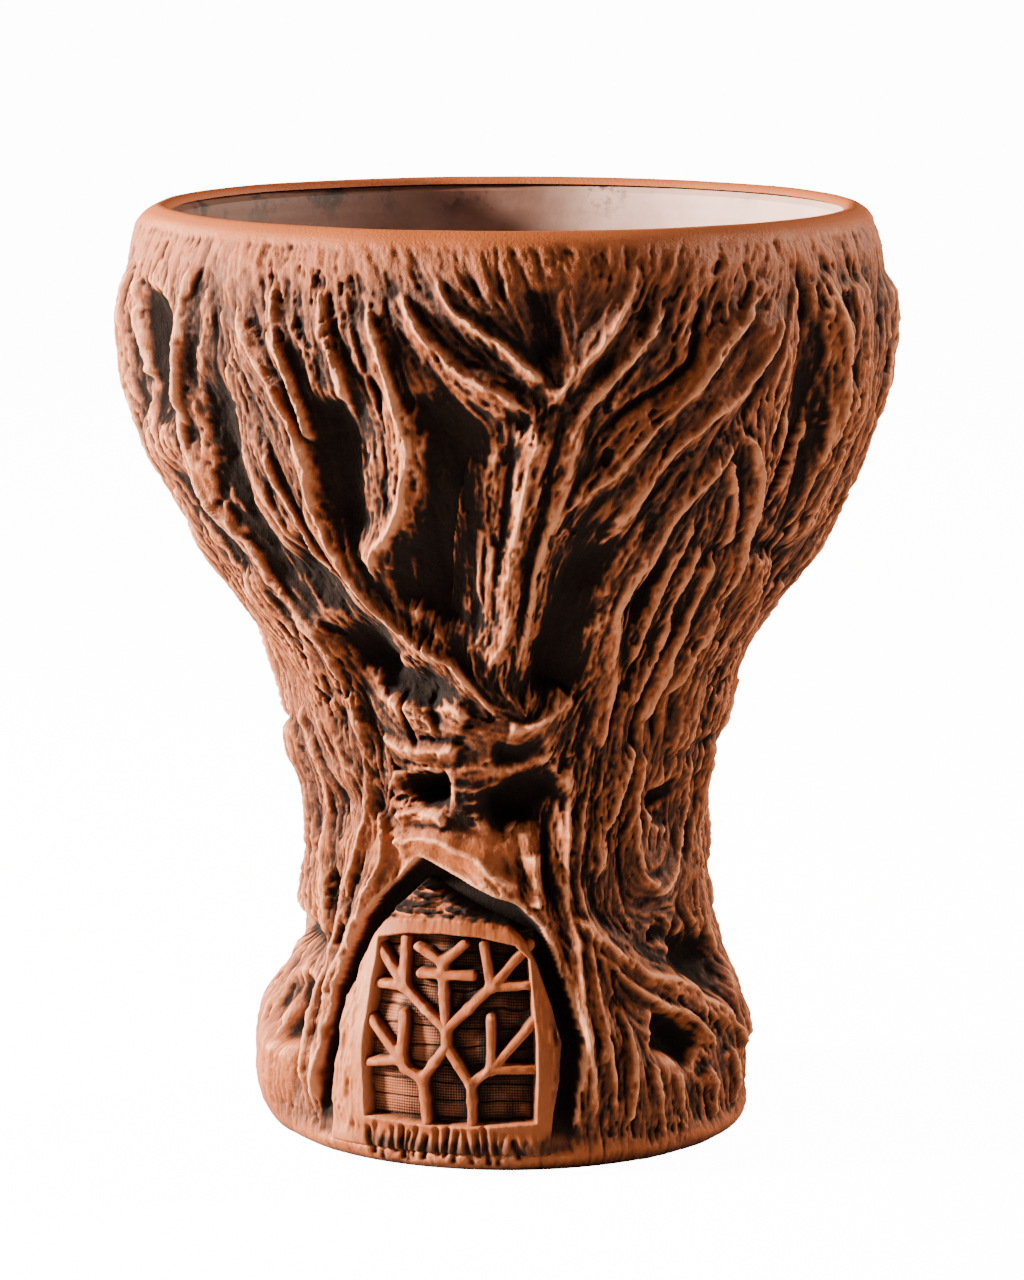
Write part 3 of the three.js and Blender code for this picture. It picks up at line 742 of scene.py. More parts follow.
# Painted shade beside the patina: the middle and wide dips and the deepest cuts are darkened as shade falls
# in them.
hollow = 2.6 * fine_dip + 0.75 * middle_dip + 0.3 * wide_dip + 0.45 * deep + 0.15
for azimuth, height, wide, tall, amount in DARKENED_PLACES + LIGHTENED_PLACES:
    hollow += amount * at_place(azimuth, height, wide, tall)
# Painted shade: the whole niche behind the door's gap is darkened.
niche_shade = (1 - ramp(arch - GAP, -0.2, 0.7)) * ramp(heights, 2.5, 6)[:, None]
# Painted shade: the foot's lowest 3 mm, where it turns under, is darkened.
foot_shade = (1 - ramp(heights, 0.6, 3.0))[:, None]
hollow = np.clip(hollow + 1.2 * niche_shade + 0.8 * foot_shade, 0, 1)
crest = np.clip(-2.2 * fine_dip - 0.6 * middle_dip - 0.15 * wide_dip + 0.05, 0, 1)
print("hollow", hollow.mean().round(2), "crest", crest.mean().round(2))

# %% [markdown]
# ## Sheets bent round the tree
# The carved surface is a fine grid, one row per step along the outline, bent round the axis and then
# pushed in by the relief. It is made as a few sheets, because each stays light enough to handle. They
# share their borders, so the bark runs on from one to the next.

# %% Rows along the outline
outline = np.array([(z, r) for r, z in OUTLINE], float)
steps = np.concatenate(([0], np.hypot(*np.diff(outline, axis=0).T).cumsum()))
fine_steps = np.linspace(0, steps[-1], 2000)
fine_z = softened(np.interp(fine_steps, steps, outline[:, 0]), 60)
fine_r = softened(np.interp(fine_steps, steps, outline[:, 1]), 60)
rising = slice(0, fine_z.argmax() + 1)
OVER_THE_LIP = 99


def grid_piece(name, across, along, place, masks, keep=None):
    """A grid of clay. place gives x, y, z in millimetres for each corner, masks what its finish reads."""
    clay = bmesh.new()
    bmesh.ops.create_grid(clay, x_segments=across, y_segments=along, size=1)
    mesh = bpy.data.meshes.new(name)
    clay.to_mesh(mesh)
    clay.free()
    flat = np.empty(len(mesh.vertices) * 3)
    mesh.vertices.foreach_get("co", flat)
    u, v = (flat.reshape(-1, 3)[:, :2].T + 1) / 2
    x, y, z = place(u, v)
    mesh.vertices.foreach_set("co", (np.column_stack((x, y, z)) * MM).ravel())
    for mask, values in masks(u, v).items():
        layer = mesh.attributes.new(mask, "FLOAT", "POINT")
        layer.data.foreach_set("value", values.astype(np.float32))
    if keep is not None:
        kept = keep(u, v)
        clay = bmesh.new()
        clay.from_mesh(mesh)
        clay.verts.ensure_lookup_table()
        away = [vertex for vertex, stays in zip(clay.verts, kept) if not stays]
        bmesh.ops.delete(clay, geom=away, context="VERTS")
        clay.to_mesh(mesh)
        clay.free()
    mesh.shade_smooth()
    made = bpy.data.objects.new(name, mesh)
    bpy.context.collection.objects.link(made)
    return made


def on_tree(azimuth, radius, height):
    """The place in space of an azimuth, a radius and a height."""
    turn = np.radians(azimuth)
    return radius * np.sin(turn), -radius * np.cos(turn), height


def bark(name, azimuth_from, azimuth_to, low, high, spacing, nodes):
    """One sheet of bark between two azimuths and two heights, standing for its CAD strips."""
    from_step = np.interp(low, fine_z[rising], fine_steps[rising]) if low > 0 else 0
    to_step = np.interp(high, fine_z[rising], fine_steps[rising]) if high < OVER_THE_LIP else steps[-1]
    mean_radius = np.interp((from_step + to_step) / 2, fine_steps, fine_r)
    across = round(math.radians(azimuth_to - azimuth_from) * mean_radius / spacing)
    along = round((to_step - from_step) / spacing)

    def spot(u, v):
        step = from_step + v * (to_step - from_step)
        azimuth = azimuth_from + u * (azimuth_to - azimuth_from)
        return azimuth, np.interp(step, fine_steps, fine_r), np.interp(step, fine_steps, fine_z)

    def place(u, v):
        azimuth, radius, height = spot(u, v)
        return on_tree(azimuth, radius + map_value(relief, azimuth, height), height)

    def masks(u, v):
        azimuth, radius, height = spot(u, v)
        return {
            "hollow": map_value(hollow, azimuth, height),
            "crest": map_value(crest, azimuth, height),
            "tidy": map_value(1 - rough, azimuth, height),
        }

    made = grid_piece(name, across, along, place, masks)
    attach(made, "root")
    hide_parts(*nodes)
    print(name, 2 * across * along, "triangles")
    return made


# %% Bark of the crown and the trunk
FRONT_SPACING = 0.18
BACK_SPACING = 0.32
skins = [
    bark("bark_crown_left", -92, -30, 48, 100, FRONT_SPACING, [
        "left_shoulder_limb", "left_outer_limb", "far_left_limb", "long_fold", "second_fold"]),
    bark("bark_crown_front", -30, 30, 48, 100, FRONT_SPACING, [
        "centre_stem", "fork_left", "fork_right", "upper_band", "hook_fold", "right_brow"]),
    bark("bark_crown_right", 30, 92, 48, 100, FRONT_SPACING, [
        "lower_band", "right_long_fold", "leaf_knot", "right_outer_limb", "far_right_limb"]),
    bark("bark_crown_back_right", 91.6, 180, 47.7, 100, BACK_SPACING, [
        "back_limb_1", "back_limb_2", "back_limb_3", "back_limb_4"]),
    bark("bark_crown_back_left", 180, 268.4, 47.7, 100, BACK_SPACING, [
        "back_limb_5", "back_limb_6", "back_limb_7", "back_limb_8"]),
    bark("bark_trunk_left", -92, -16, -1, 48.2, 0.17, [
        "left_brow", "door_canopy", "left_jamb", "left_trunk", "root_left_ball"]),
    bark("bark_trunk_right", -16, 92, -1, 48.2, 0.2, [
        "right_jamb", "knot_whorl", "root_right_arch", "root_right_inner", "root_right_outer"]),
    bark("bark_trunk_back", 91.6, 268.4, -1, 48.2, BACK_SPACING, [
        "root_left_back", "root_back_1", "root_back_2", "root_back_3", "root_back_4", "root_back_5",
        "root_back_6"]),
]

# %% [markdown]
# ## The door
# The slab is one plate of clay with a window cut in it. Smooth bars frame the window, a narrow smooth
# band closes it at the top, and the pointed field over the band was left rough, with cracks that lie
# level. The slab is a finer grid than the bark, because its edges are crisp.

# %% The door slab
WINDOW = [
    (-34.6, 5.4), (-15, 5.0), (6.6, 5.6), (6.9, 14), (5.7, 22.4), (2, 23.8), (-8, 24.6), (-18, 24.8),
    (-28, 24.6), (-37.0, 23.8), (-36.2, 15),
]
HEAD_AZIMUTHS = [-40, -30, -18, -6, 6]
HEAD_HEIGHTS = [25.2, 26.1, 26.4, 26.0, 24.8]
SLAB_LEVEL = -0.9
PANEL_LEVEL = -2.5


def level_noise(u, v, cells_u, cells_v, seed):
    """Smooth random values on a patch, with its own number of cells each way."""
    grid = np.random.default_rng(seed).standard_normal((cells_v + 2, cells_u + 2))
    x, y = u * cells_u, v * cells_v
    i, j = np.minimum(x.astype(int), cells_u), np.minimum(y.astype(int), cells_v)
    fx, fy = x - i, y - j
    fx, fy = fx * fx * (3 - 2 * fx), fy * fy * (3 - 2 * fy)
    low = grid[j, i] * (1 - fx) + grid[j, i + 1] * fx
    high = grid[j + 1, i] * (1 - fx) + grid[j + 1, i + 1] * fx
    return low * (1 - fy) + high * fy


def patch(name, azimuth_from, azimuth_to, low, high, spacing, level, nodes, keep=None):
    """A finer sheet on the trunk. level gives its depth from the crests and the masks of its finish."""
    across = round(math.radians(azimuth_to - azimuth_from) * DOOR_RADIUS / spacing)
    along = round((high - low) / spacing)

    def spot(u, v):
        return azimuth_from + u * (azimuth_to - azimuth_from), low + v * (high - low)

    def place(u, v):
        azimuth, height = spot(u, v)
        radius = np.interp(height, heights, crest_radius) + level(azimuth, height, u, v)[0]
        return on_tree(azimuth, radius, height)

    def masks(u, v):
        azimuth, height = spot(u, v)
        return level(azimuth, height, u, v)[1]

    def kept(u, v):
        return keep(*spot(u, v))

    made = grid_piece(name, across, along, place, masks, kept if keep else None)
    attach(made, "root")
    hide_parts(*nodes)
    print(name, len(made.data.polygons) * 2, "triangles")
    return made


def slab_level(azimuth, height, u, v):
    edge = outline_distance(ARCH, azimuth, height) + GAP
    opening = outline_distance(WINDOW, azimuth, height)
    field = ramp(height - np.interp(azimuth, HEAD_AZIMUTHS, HEAD_HEIGHTS), -0.1, 0.5)
    bars = 1 - ramp(opening, 1.0, 2.4)

    # The pointed field is cracked level, the outer slopes were drawn upright, and the bars are smooth.
    ragged = 0.5 * level_noise(u, v, 16, 70, 3) + 0.5 * level_noise(u, v, 40, 120, 4)
    upright = 0.6 * level_noise(u, v, 60, 14, 5) + 0.4 * level_noise(u, v, 120, 40, 6)
    level = SLAB_LEVEL + 0.12 * level_noise(u, v, 9, 9, 8)
    level = level - field * (0.45 + 0.42 * ragged) + (1 - field) * (0.22 - 0.19 * bars) * upright
    level = level - 0.3 * np.exp(edge / 0.45)

    # At its foot the slab runs into the threshold, and the strokes cross the joint.
    struck = map_value(strokes, azimuth, height)
    foot_end = 1 - ramp(height, 2.2, 4.6)
    tucked = 1 - ramp(height, 1.9, 2.2)
    level = level * (1 - foot_end) - 0.35 * foot_end - STROKE_DEPTH * struck - 0.5 * tucked

    # The outer edge drops to the back of the niche, and the window to just behind the panel.
    drop = ramp(edge, -0.25, 0.25)
    recess = 1 - ramp(opening, -0.3, 0.1)
    level = level * (1 - drop) + (NICHE_DEPTH - 0.3) * drop
    level = level * (1 - recess) + (PANEL_LEVEL - 0.5) * recess

    # Painted light: the left bar is made paler, as the key lamp on the left lights it. Patina stays in the
    # cracks and the strokes, and patina and painted shade darken the clay round the edge and behind both
    # edges.
    rubbed_and_lit = ramp(-azimuth, 30, 42)
    cracks = field * (0.5 - 0.9 * ragged) + (1 - 0.6 * bars) * (0.1 - 0.4 * upright)
    shade = np.clip(cracks + 0.6 * struck + drop + recess, 0, 1)
    shade = np.clip(shade + 0.12 + 0.2 * np.exp(edge / 0.8), 0, 1)
    shade = shade * (1 - 0.6 * rubbed_and_lit * (1 - drop) * (1 - recess))
    arris = 0.5 * np.exp(-np.abs(opening) / 0.3)
    worn_and_lit = np.clip(0.12 + 0.6 * rubbed_and_lit + 0.15 * bars + 0.6 * field * ragged + arris, 0, 1)
    return level, {"hollow": shade, "crest": worn_and_lit * (1 - drop), "tidy": bars * (1 - field)}


door = patch("door_slab_carved", -51, 18.5, 1.9, 32.6, 0.13, slab_level, ["door_slab"])

# %% [markdown]
# ## The lattice
# Each little tree of the lattice was rolled thin, laid on the panel and patted flat, so a twig is a
# low bar with rounded edges that runs into its neighbours. The twigs are drawn on the window as seen
# from the front, from its left edge (0) to its right (1) and from its sill (0) to its head (1).

# %% Lattice twigs
TWIG_HALF = 0.5
TWIG_FILLET = 0.35
LATTICE = {
    "lattice_left_tree": [
        [(0.362, -0.04), (0.35, 0.1), (0.334, 0.216), (0.40, 0.31), (0.474, 0.41)],
        [(0.334, 0.216), (0.235, 0.269), (0.212, 0.313), (0.016, 0.276)],
        [(0.212, 0.313), (0.036, 0.53)],
        [(0.212, 0.313), (0.229, 0.575)],
    ],
    "lattice_right_tree": [
        [(0.623, -0.04), (0.62, 0.1), (0.612, 0.20), (0.54, 0.31), (0.474, 0.41)],
        [(0.612, 0.20), (0.734, 0.291), (0.992, 0.291)],
        [(0.734, 0.291), (0.731, 0.58)],
        [(0.734, 0.291), (0.991, 0.567)],
    ],
    "lattice_left_crown": [
        [(0.474, 0.41), (0.47, 0.507), (0.35, 0.61), (0.226, 0.724), (0.036, 0.724)],
        [(0.226, 0.724), (0.058, 0.97)],
        [(0.226, 0.724), (0.24, 1.0)],
    ],
    "lattice_right_crown": [
        [(0.474, 0.41), (0.47, 0.507), (0.60, 0.62), (0.732, 0.746), (0.994, 0.761)],
        [(0.732, 0.746), (0.69, 0.99)],
        [(0.732, 0.746), (0.958, 0.985)],
    ],
    "lattice_sprout": [
        [(0.47, 0.507), (0.455, 0.7), (0.45, 0.873), (0.309, 0.955)],
        [(0.45, 0.873), (0.577, 0.985)],
        [(0.324, 0.805), (0.622, 0.805)],
    ],
}
SILL = (-15.2, 6.0)
HEAD = (3.2, 24.0)


def twig_distance(twigs, azimuth, height):
    """Distance in millimetres, as seen from the front, to the nearest twig of a tree."""
    radius = np.interp(height, heights, crest_radius) - 1.3
    x = radius * np.sin(np.radians(azimuth))
    nearest = np.full(x.shape, 9.0)
    for twig in twigs:
        points = [(SILL[0] + u * (HEAD[0] - SILL[0]), SILL[1] + v * (HEAD[1] - SILL[1])) for u, v in twig]
        for (x0, z0), (x1, z1) in zip(points, points[1:]):
            run_x, run_z = x1 - x0, z1 - z0
            t = np.clip(((x - x0) * run_x + (height - z0) * run_z) / (run_x**2 + run_z**2), 0, 1)
            off = np.hypot(x - x0 - t * run_x, height - z0 - t * run_z)
            mix = np.clip(0.5 + 0.5 * (off - nearest) / TWIG_FILLET, 0, 1)
            nearest = off * (1 - mix) + nearest * mix - TWIG_FILLET * mix * (1 - mix)
    return nearest


def lattice_distance(azimuth, height):
    """The same to the nearest twig of all."""
    return np.minimum.reduce([twig_distance(twigs, azimuth, height) for twigs in LATTICE.values()])


# %% [markdown]
# The panel behind the lattice is scored level like planks, and a scrap of woven cloth was pressed into
# the soft clay. The weave is real relief: two sets of threads 0.3 mm apart. Patina stays in the seams and
# the weave, patina and painted shade darken the corners and the clay beside the twigs, and the left of
# the panel is made paler, as painted light from the key lamp on the left.

# %% The window panel
PLANK = 1.9
THREAD = 0.3


def panel_level(azimuth, height, u, v):
    across = np.radians(azimuth - DOOR_AZIMUTH) * DOOR_RADIUS
    wander = 0.12 * level_noise(u, v, 10, 10, 11)
    plank = np.abs(((height + wander) / PLANK) % 1 - 0.5) * 2
    seam = np.clip((plank - 0.86) / 0.14, 0, 1)
    weft = np.cos(2 * math.pi * (height + 0.5 * wander) / THREAD)
    warp = np.cos(2 * math.pi * (across + 0.5 * wander) / THREAD)
    uneven = level_noise(u, v, 14, 12, 12)
    print_depth = np.clip(0.6 + 0.5 * uneven, 0.1, 1)
    level = PANEL_LEVEL + 0.06 * print_depth * (weft + 0.8 * warp) - 0.3 * seam + 0.08 * uneven
    opening = outline_distance(WINDOW, azimuth, height)
    corner = np.exp(opening / 0.7)
    twigs_near = np.exp(-np.clip(lattice_distance(azimuth, height) - TWIG_HALF, 0, 9) / 0.6)
    weave = 0.2 * print_depth * (2 - weft - warp)
    # Patina and painted shade darken the corners of the window and the clay beside the twigs.
    shade = np.clip(0.26 + 0.6 * seam + weave + 0.7 * corner + 0.8 * twigs_near, 0, 1)
    # Painted light: the panel is made paler towards its left, where the key lamp is.
    shade = np.clip(shade - 0.4 * ramp(-azimuth, 8, 30), 0, 1)
    worn_and_lit = np.clip(0.3 + 0.3 * weft, 0, 1) * (1 - seam)
    return level, {"hollow": shade, "crest": worn_and_lit, "tidy": 0 * height}


FINE_SPACING = 0.09
panel = patch(
    "window_panel_pressed", -37.5, 7.5, 4.7, 25.2, FINE_SPACING, panel_level, ["window_panel"])

# %% [markdown]
# The twigs come last, one piece for each little tree, because they lie on the panel. Each is cut out of
# a fine sheet: its top stands near the face of the slab, its rounded sides drop to the panel, and what
# lies further out is taken away. No two trees are at quite the same level, so they cross cleanly.

# %% Roll the twigs
TWIG_TOP = -1.15
TWIG_SKIRT = 0.32


def rolled_tree(name, twigs, number):
    def twig_level(azimuth, height, u, v):
        uneven = level_noise(u, v, 24, 22, 30 + number)
        off = twig_distance(twigs, azimuth, height) - TWIG_HALF + 0.05 * uneven
        top = TWIG_TOP - 0.02 * number + 0.06 * uneven - 0.25 * np.exp(off / 0.18)
        side = ramp(off, -0.1, 0.22)
        level = top * (1 - side) + (PANEL_LEVEL - 0.35) * side
        # Patina and painted shade darken the twig's sides where they drop to the panel; its top stays paler.
        stained_and_shaded = np.clip(side * 1.1 + 0.14 - 0.1 * uneven, 0, 1)
        worn_and_lit = np.clip(0.3 + 0.25 * uneven - side, 0, 1)
        return level, {"hollow": stained_and_shaded, "crest": worn_and_lit, "tidy": 0.7 * (1 - side)}

    def near_twigs(azimuth, height):
        return twig_distance(twigs, azimuth, height) < TWIG_HALF + TWIG_SKIRT

    return patch(
        name + "_rolled", -38.5, 8.2, 4.6, 25.2, FINE_SPACING, twig_level, [name], near_twigs)


trees = [rolled_tree(name, twigs, number) for number, (name, twigs) in enumerate(LATTICE.items())]

# %% [markdown]
# ## The thrown core
# Inside the bark the bowl is plain wheel work, so each piece is a profile turned about the axis: the
# cup with its well, the perforated floor set in the well, the tapered socket below, and the foot ring.

# %% Turned pieces
TURNS = 160


def turned(name, profile, nodes, smooth_angle=40):
    """A closed profile of (radius, height) in millimetres, spun about the axis."""
    clay = bmesh.new()
    corners = [clay.verts.new((r * MM, 0, z * MM)) for r, z in profile]
    edges = [clay.edges.new((a, b)) for a, b in zip(corners, corners[1:] + corners[:1])]
    bmesh.ops.spin(
        clay, geom=corners + edges, cent=(0, 0, 0), axis=(0, 0, 1), dvec=(0, 0, 0), angle=2 * math.pi,
        steps=TURNS, use_merge=True, use_duplicate=False)
    bmesh.ops.remove_doubles(clay, verts=clay.verts, dist=1e-7)
    bmesh.ops.recalc_face_normals(clay, faces=clay.faces)
    mesh = bpy.data.meshes.new(name)
    clay.to_mesh(mesh)
    clay.free()
    mesh.shade_smooth()
    mesh.set_sharp_from_angle(angle=math.radians(smooth_angle))
    made = bpy.data.objects.new(name, mesh)
    bpy.context.collection.objects.link(made)
    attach(made, "root")
    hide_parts(*nodes)
    print(name, "spun from", len(profile), "points")
    return made


def eased(points, spacing=0.7):
    """The same profile with points close enough together to turn smoothly."""
    points = np.array(points, float)
    lengths = np.concatenate(([0], np.hypot(*np.diff(points, axis=0).T).cumsum()))
    at = np.linspace(0, lengths[-1], round(lengths[-1] / spacing))
    r = softened(np.interp(at, lengths, points[:, 0]), 6)
    z = softened(np.interp(at, lengths, points[:, 1]), 6)
    return list(zip(r, z))


cup_inside = eased([
    (35.72, 99.0), (35.5, 97), (35.6, 92), (35.4, 88), (34.3, 82), (31.4, 75), (27.5, 70), (22, 67.2),
    (15.9, 66.1)])
cup_well = [(15.35, 65.8), (15.3, 62.1), (10.6, 62.0), (10.5, 58.1)]
cup_back = [
    (21.5, 58.1), (26, 66), (32.2, 74), (35.3, 82), (36.5, 88), (36.6, 94), (36.9, 98.3), (36.4, 98.9)]
cup = turned("cup_wall", cup_inside + cup_well + cup_back, ["thrown_cup"])
socket = turned(
    "stem_socket", [(13.0, 3.9), (9.6, 57.6), (16.5, 57.6), (16.2, 38), (16.5, 24), (18.5, 12), (20.3, 3.9)],
    ["trunk_tube"])
foot = turned(
    "foot_face", [(13.0, 3.4), (13.0, 0.8), (13.7, 0.05), (14.4, 0.0), (23.9, 0.0), (24.5, 0.4), (24.5, 2.2),
                  (21.5, 3.4)],
    ["foot_ring"], 60)

# %% [markdown]
# The floor's holes were punched in the soft clay with a tube, so their rims are slightly rounded. The
# disc is cut by the same tube shape seven times, one hole in the middle and six round it.

# %% The perforated floor
DISC_RADIUS = 14.95
AIR_HOLE = 1.8
AIR_CIRCLE = 6.6
RIM_ROUND = 0.45
FLOOR_TOP = 66.0
FLOOR_BASE = 62.35


def floor_disc():
    clay = bmesh.new()
    bmesh.ops.create_circle(clay, cap_ends=False, segments=72, radius=DISC_RADIUS * MM)
    turns = [math.radians(60 * i) for i in range(6)]
    holes = [(0, 0)] + [(AIR_CIRCLE * math.sin(turn), -AIR_CIRCLE * math.cos(turn)) for turn in turns]
    for x, y in holes:
        ring = bmesh.ops.create_circle(clay, cap_ends=False, segments=28, radius=AIR_HOLE * MM)["verts"]
        bmesh.ops.translate(clay, verts=ring, vec=(x * MM, y * MM, 0))
    bmesh.ops.triangle_fill(clay, use_beauty=True, use_dissolve=False, edges=clay.edges)
    bmesh.ops.translate(clay, verts=clay.verts, vec=(0, 0, FLOOR_BASE * MM))
    rims = [edge for edge in clay.edges if edge.is_boundary]
    top = bmesh.ops.extrude_face_region(clay, geom=list(clay.faces), use_keep_orig=True)["geom"]
    raised = [vertex for vertex in top if isinstance(vertex, bmesh.types.BMVert)]
    bmesh.ops.translate(clay, verts=raised, vec=(0, 0, (FLOOR_TOP - FLOOR_BASE) * MM))
    bmesh.ops.recalc_face_normals(clay, faces=clay.faces)
    upper = [
        edge for edge in clay.edges
        if all(vertex.co.z > (FLOOR_TOP - 0.1) * MM for vertex in edge.verts) and edge.calc_face_angle(0) > 1]
    bmesh.ops.bevel(
        clay, geom=upper, offset=RIM_ROUND * MM, affect="EDGES", segments=3, profile=0.5, material=-1)
    mesh = bpy.data.meshes.new("floor_disc")
    clay.to_mesh(mesh)
    clay.free()
    mesh.shade_smooth()
    mesh.set_sharp_from_angle(angle=math.radians(35))
    made = bpy.data.objects.new("floor_disc", mesh)
    bpy.context.collection.objects.link(made)
    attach(made, "root")
    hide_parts("perforated_floor")
    print("floor disc with", len(holes), "holes,", len(rims), "rim edges")
    return made


disc = floor_disc()

# %% [markdown]
# ## Fired clay
# Every surface is the same terracotta in a different state. One node group mixes it: the ground colour
# wanders between orange and brown, what is hollow goes to near-black, patina and painted shade together,
# and what is proud is rubbed pale, with painted light where a mask carries it. The masks come from the
# carving, broken up by noise so that nothing follows them exactly.

# %% Node helpers and the clay group
def node(tree, kind, **settings):
    """A new node with its sockets and settings filled in by name."""
    made = tree.nodes.new(kind)
    for key, value in settings.items():
        if key in made.inputs:
            made.inputs[key].default_value = value
        else:
            setattr(made, key, value)
    return made


def math_node(tree, operation, first, second, third=None):
    """One sum on values or sockets, and its result."""
    made = tree.nodes.new("ShaderNodeMath")
    made.operation = operation
    for socket_number, value in enumerate((first, second, third)):
        if value is None:
            continue
        if isinstance(value, (int, float)):
            made.inputs[socket_number].default_value = value
        else:
            tree.links.new(value, made.inputs[socket_number])
    return made.outputs[0]


def mixed(tree, amount, first, second):
    """The first colour where the amount is 0 and the second where it is 1."""
    made = tree.nodes.new("ShaderNodeMix")
    made.data_type = "RGBA"
    for key, value in (("Factor", amount), ("A", first), ("B", second)):
        socket_in = next(s for s in made.inputs if s.name == key and s.enabled)
        if isinstance(value, (int, float)):
            socket_in.default_value = value
        elif isinstance(value, tuple):
            socket_in.default_value = (*value, 1)
        else:
            tree.links.new(value, socket_in)
    return next(s for s in made.outputs if s.enabled)


def noise(tree, place, scale, detail=3.0, roughness=0.55):
    """Cloudy noise, about as many patches in a metre as the scale says."""
    made = node(tree, "ShaderNodeTexNoise", Scale=scale, Detail=detail, Roughness=roughness)
    tree.links.new(place, made.inputs["Vector"])
    return made.outputs["Fac"]


def spread(tree, value, low, high, to_low=0.0, to_high=1.0):
    """A smooth step of a value from low to high."""
    made = tree.nodes.new("ShaderNodeMapRange")
    made.interpolation_type = "SMOOTHSTEP"
    tree.links.new(value, made.inputs["Value"])
    for key, number in (("From Min", low), ("From Max", high), ("To Min", to_low), ("To Max", to_high)):
        made.inputs[key].default_value = number
    return made.outputs["Result"]


def clay_group():
    """Fired clay: four colours and three masks in, a colour, a roughness and a fine height out."""
    group = bpy.data.node_groups.new("fired_clay", "ShaderNodeTree")
    add = group.interface.new_socket
    for label in ("Ground", "Brown", "Pale", "PatinaAndShade"):
        add(name=label, in_out="INPUT", socket_type="NodeSocketColor")
    for label in ("Hollow", "Crest", "Tidy"):
        add(name=label, in_out="INPUT", socket_type="NodeSocketFloat")
    add(name="Color", in_out="OUTPUT", socket_type="NodeSocketColor")
    add(name="Roughness", in_out="OUTPUT", socket_type="NodeSocketFloat")
    add(name="Height", in_out="OUTPUT", socket_type="NodeSocketFloat")
    given = group.nodes.new("NodeGroupInput").outputs
    result = group.nodes.new("NodeGroupOutput").inputs
    place = group.nodes.new("ShaderNodeTexCoord").outputs["Object"]
    upright = node(group, "ShaderNodeMapping", Scale=(1.0, 1.0, 0.28))
    group.links.new(place, upright.inputs["Vector"])

    broad = noise(group, place, 55, 3, 0.6)
    cloud = noise(group, place, 260, 4, 0.65)
    streak = noise(group, upright.outputs[0], 2400, 5, 0.75)
    speck = noise(group, place, 3600, 3, 0.65)

    # Orange where the clay is bare, brown elsewhere
    bare = math_node(group, "MULTIPLY_ADD", given["Tidy"], 0.5, given["Crest"])
    bare = math_node(group, "ADD", bare, math_node(group, "MULTIPLY_ADD", broad, 0.7, -0.35))
    bare = math_node(group, "ADD", bare, math_node(group, "MULTIPLY_ADD", streak, 0.6, -0.3))
    ground = mixed(group, spread(group, bare, -0.05, 0.5), given["Brown"], given["Ground"])

    # Pale where a dry rag rubbed the crests, and painted light where the crest mask carries it, as on the
    # door's left
    rub = math_node(group, "ADD", given["Crest"], math_node(group, "MULTIPLY_ADD", cloud, 0.6, -0.3))
    rub = math_node(group, "ADD", rub, math_node(group, "MULTIPLY_ADD", streak, 0.9, -0.45))
    rubbed_and_lit = mixed(group, spread(group, rub, 0.35, 1.1, 0, 0.85), ground, given["Pale"])

    # Near-black in the hollows, patina and painted shade together, less of it on wiped clay
    stain_and_shade = math_node(group, "ADD", given["Hollow"], math_node(group, "MULTIPLY_ADD", streak, 0.7, -0.36))
    stain_and_shade = math_node(group, "ADD", stain_and_shade, math_node(group, "MULTIPLY_ADD", cloud, 0.5, -0.25))
    stain_and_shade = math_node(group, "ADD", stain_and_shade, math_node(group, "MULTIPLY", given["Tidy"], -0.25))
    patina_and_shade_cover = spread(group, stain_and_shade, 0.0, 0.85, 0, 0.97)
    stained_and_shaded = mixed(group, patina_and_shade_cover, rubbed_and_lit, given["PatinaAndShade"])
    group.links.new(stained_and_shaded, result["Color"])

    # Patina is quite matt, and bare clay has a slight sheen
    rough_value = math_node(group, "MULTIPLY_ADD", speck, 0.3, 0.42)
    rough_value = math_node(group, "MULTIPLY_ADD", patina_and_shade_cover, 0.4, rough_value)
    group.links.new(rough_value, result["Roughness"])

    # Streaks and sandy grains too fine for the carving
    coarse = math_node(group, "MULTIPLY", streak, math_node(group, "SUBTRACT", 1.0, given["Tidy"]))
    height_value = math_node(group, "MULTIPLY_ADD", coarse, 0.8, math_node(group, "MULTIPLY", speck, 0.35))
    group.links.new(height_value, result["Height"])
    return group


fired_clay = clay_group()

# %% [markdown]
# The colours are those of iron-rich clay: a saturated orange where it is bare, a browner tone where it
# was handled, a pale peach where the surface is rubbed and where light is painted, and a near-black for
# both patina and painted shade.

# %% Clay materials for the carved pieces
BARK_GRAIN = 0.00034
DOOR_GRAIN = 0.0001
PANEL_GRAIN = 0.00003
CLAY_SHEEN = 0.15


